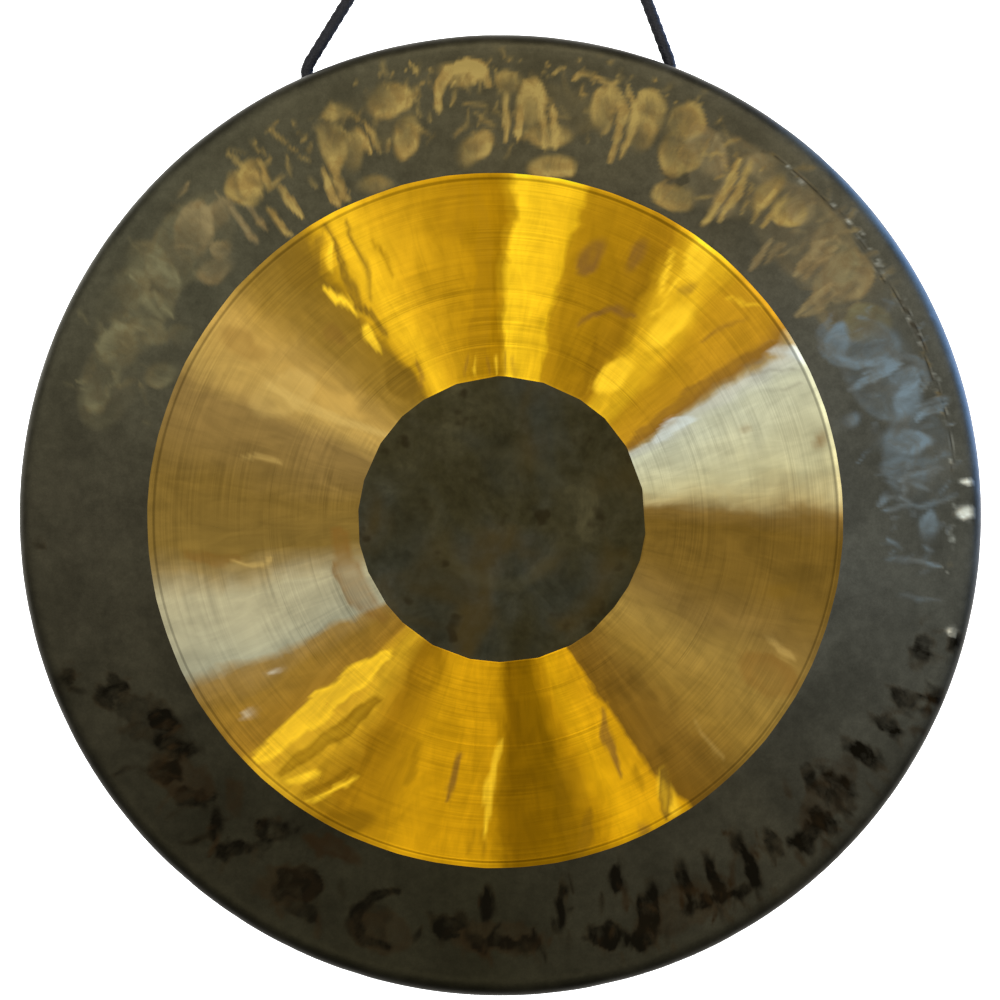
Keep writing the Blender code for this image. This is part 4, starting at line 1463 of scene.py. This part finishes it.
def path_frames(points):
    """Two directions across the path that turn with it and never twist."""
    tangents = np.gradient(points, axis=0)
    tangents /= np.linalg.norm(tangents, axis=1)[:, None]
    across = np.cross(tangents[0], (0.0, 1.0, 0.0) if abs(tangents[0][1]) < 0.9 else (1.0, 0.0, 0.0))
    firsts = []
    for tangent in tangents:
        across = across - tangent * (across @ tangent)
        across /= np.linalg.norm(across)
        firsts.append(across)
    firsts = np.array(firsts)
    return firsts, np.cross(tangents, firsts)


def swept(points, firsts, seconds, wide, high, sides, places, faces):
    """Adds a bar with an oval section along the points to the places and faces."""
    start = len(places)
    turns = np.arange(sides) * 2 * pi / sides
    wide = np.broadcast_to(wide, (len(points), 1))
    high = np.broadcast_to(high, (len(points), 1))
    for point, first, second, half, rise in zip(points, firsts, seconds, wide, high):
        ring = point + np.outer(np.cos(turns) * half, first) + np.outer(np.sin(turns) * rise, second)
        places.extend(ring.tolist())
    for row in range(len(points) - 1):
        low = start + row * sides
        for k in range(sides):
            after = (k + 1) % sides
            faces.append((low + k, low + after, low + sides + after, low + sides + k))
    faces.append(tuple(start + k for k in range(sides))[::-1])
    faces.append(tuple(start + (len(points) - 1) * sides + k for k in range(sides)))


def braid_mesh(name, points, stations, diameter):
    """Strands that spiral both ways and pass over and under each other, round a core."""
    firsts, seconds = path_frames(points)
    places = []
    faces = []
    strand_high = 0.11 * diameter
    strand_wide = 0.18 * diameter
    middle = diameter / 2 - 1.2 * strand_high
    for hand in (-1, 1):
        for number in range(BRAID_STRANDS):
            angle = hand * 2 * pi * stations / BRAID_PITCH + 2 * pi * number / BRAID_STRANDS
            reach = middle + 0.6 * strand_high * hand * np.cos(BRAID_STRANDS * angle)
            out = np.cos(angle)[:, None] * firsts + np.sin(angle)[:, None] * seconds
            line = points + out * reach[:, None]
            heading = np.gradient(line, axis=0)
            heading /= np.linalg.norm(heading, axis=1)[:, None]
            side = np.cross(heading, out)
            side /= np.linalg.norm(side, axis=1)[:, None]
            swept(line, side, out, strand_wide, strand_high, 6, places, faces)
    swept(points, firsts, seconds, 0.38 * diameter, 0.38 * diameter, 10, places, faces)
    mesh = bpy.data.meshes.new(name)
    mesh.from_pydata(places, [], faces)
    mesh.shade_smooth()
    return mesh


def cord_material():
    """Glossy black nylon yarn with a fine lay along each strand."""
    graph = Graph("black_nylon")
    place = graph.place()
    fibre = graph.noise(place, 2600.0, 2.0, 0.6)
    patch = graph.noise(place, 90.0, 2.0, 0.5)
    colour = graph.ramp(fibre, [(0.3, (0.002, 0.002, 0.003)), (0.7, (0.010, 0.010, 0.013))])
    graph.surface(
        base_color=graph.mix(graph.between(patch, 0.3, 0.7, 0.0, 0.4), colour, (0.006, 0.006, 0.008)),
        roughness=graph.between(fibre, 0.3, 0.7, 0.35, 0.55),
        normal=graph.bump(fibre, 0.4, 0.0002),
    )
    graph.shader.inputs["Specular IOR Level"].default_value = 0.22
    return graph.material


def make_cord(material):
    clocks = {side: radians(clock) for side, clock in HOLE_CLOCK.items()}
    route = [Vector((x, 0, z)) for x, z in cord_route(clocks)]
    points, stations = even_path(route, 0.0009)
    mesh = braid_mesh("braided_cord", points, stations, 1.08 * CORD)
    mesh.materials.append(material)
    cord = add_object("braided_cord", mesh)
    return cord, points


def make_knot(side, plate_at, material):
    """A stopper knot of the same cord, inside the rim under its hole: a turn and a half and a cut tail."""
    route = [(0.0, 0.0, 9.5), (0.0, 0.2, 7.0), (2.6, -0.6, 5.0)]
    for turn in np.linspace(-20, 560, 15):
        share = (turn + 20) / 580
        route.append((5.3 * cos(radians(turn)), 5.3 * sin(radians(turn)), 4.2 - 8.2 * share))
    route += [(-1.6, 0.6, -6.4), (0.4, 0.8, -8.5), (1.2, 0.4, -13.0), (1.8, -0.6, -19.0)]
    clock = radians(HOLE_CLOCK[side])
    centre = Vector((KNOT_RADIUS * sin(clock), HOLE_DEPTH, KNOT_RADIUS * cos(clock))) * MM
    at = plate_at @ Matrix.Translation(centre) @ Matrix.Rotation(clock, 4, "Y")
    points, stations = even_path([at @ (Vector(place) * MM) for place in route], 0.0009)
    name = f"{side}_stopper_knot"
    mesh = braid_mesh(f"braided_{name}", points, stations, 0.94 * CORD)
    mesh.materials.append(material)
    knot = add_object(f"braided_{name}", mesh)
    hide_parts(name)
    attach(knot, "gong")
    return knot


def make_hook(material):
    """The S-hook: one bent rod with rounded tips, in the plane X = 0."""
    upper = [radians(turn) for turn in range(0, 270, 5)]
    lower = [radians(90 - turn) for turn in range(0, 275, 5)]
    points = [(0, HOOK_BEND * cos(turn), HOOK_UPPER + HOOK_BEND * sin(turn)) for turn in upper]
    points += [(0, HOOK_BEND * cos(turn), HOOK_LOWER + HOOK_BEND * sin(turn)) for turn in lower]
    points = np.array(points)
    run = np.concatenate([[0], np.cumsum(np.linalg.norm(np.diff(points, axis=0), axis=1))])
    to_end = np.minimum(run, run[-1] - run) / (HOOK_WIRE / 2)
    thick = HOOK_WIRE / 2 * np.sqrt(np.clip(1 - np.clip(1 - to_end, 0, 0.97) ** 2, 0, 1))
    firsts, seconds = path_frames(points)
    places = []
    faces = []
    swept(points, firsts, seconds, thick[:, None], thick[:, None], 28, places, faces)
    mesh = bpy.data.meshes.new("steel_hook")
    mesh.from_pydata(places, [], faces)
    mesh.shade_smooth()
    mesh.materials.append(material)
    hook = add_object("steel_hook", mesh)
    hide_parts("hanging_hook")
    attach(hook, "hook")
    return hook


def steel_material():
    graph = Graph("zinc_steel")
    place = graph.place()
    grain = graph.noise(place, 700.0, 3.0, 0.6)
    patch = graph.noise(place, 120.0, 3.0, 0.5)
    colour = graph.ramp(patch, [(0.3, (0.26, 0.265, 0.27)), (0.7, (0.44, 0.445, 0.45))])
    graph.surface(
        base_color=colour,
        metallic=1.0,
        roughness=graph.between(grain, 0.3, 0.7, 0.24, 0.4),
        normal=graph.bump(grain, 0.2, 0.0002),
    )
    return graph.material


def build():
    bpy.context.scene.view_settings.view_transform = "Standard"
    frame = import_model()
    cad_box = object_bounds()
    plate_at = plate_matrix(frame)
    target = plate_at @ Vector((0, 0, 0))
    plate = make_plate(frame, (oxide_material(), ring_material(), disc_material()))
    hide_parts("gong_plate")
    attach(plate, "gong")
    yarn = cord_material()
    cord, path = make_cord(yarn)
    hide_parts("hanging_cord")
    knots = [make_knot(side, plate_at, yarn) for side in HOLE_CLOCK]
    hook = make_hook(steel_material())
    rock = next(joint for joint in frame["joints"] if joint["name"] == "gong_rock")
    line = Vector(rock["axis"]).normalized()
    above = Vector((0, -1, 0)).cross(line)
    above = above if above.z > 0 else -above
    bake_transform(cord)
    make_camera(target + Vector((CAMERA_SIDE, 0, CAMERA_RISE)))
    make_world()
    make_lights(target)
    make_stage(cad_box[0].z - STAGE_DROP, target)


build()
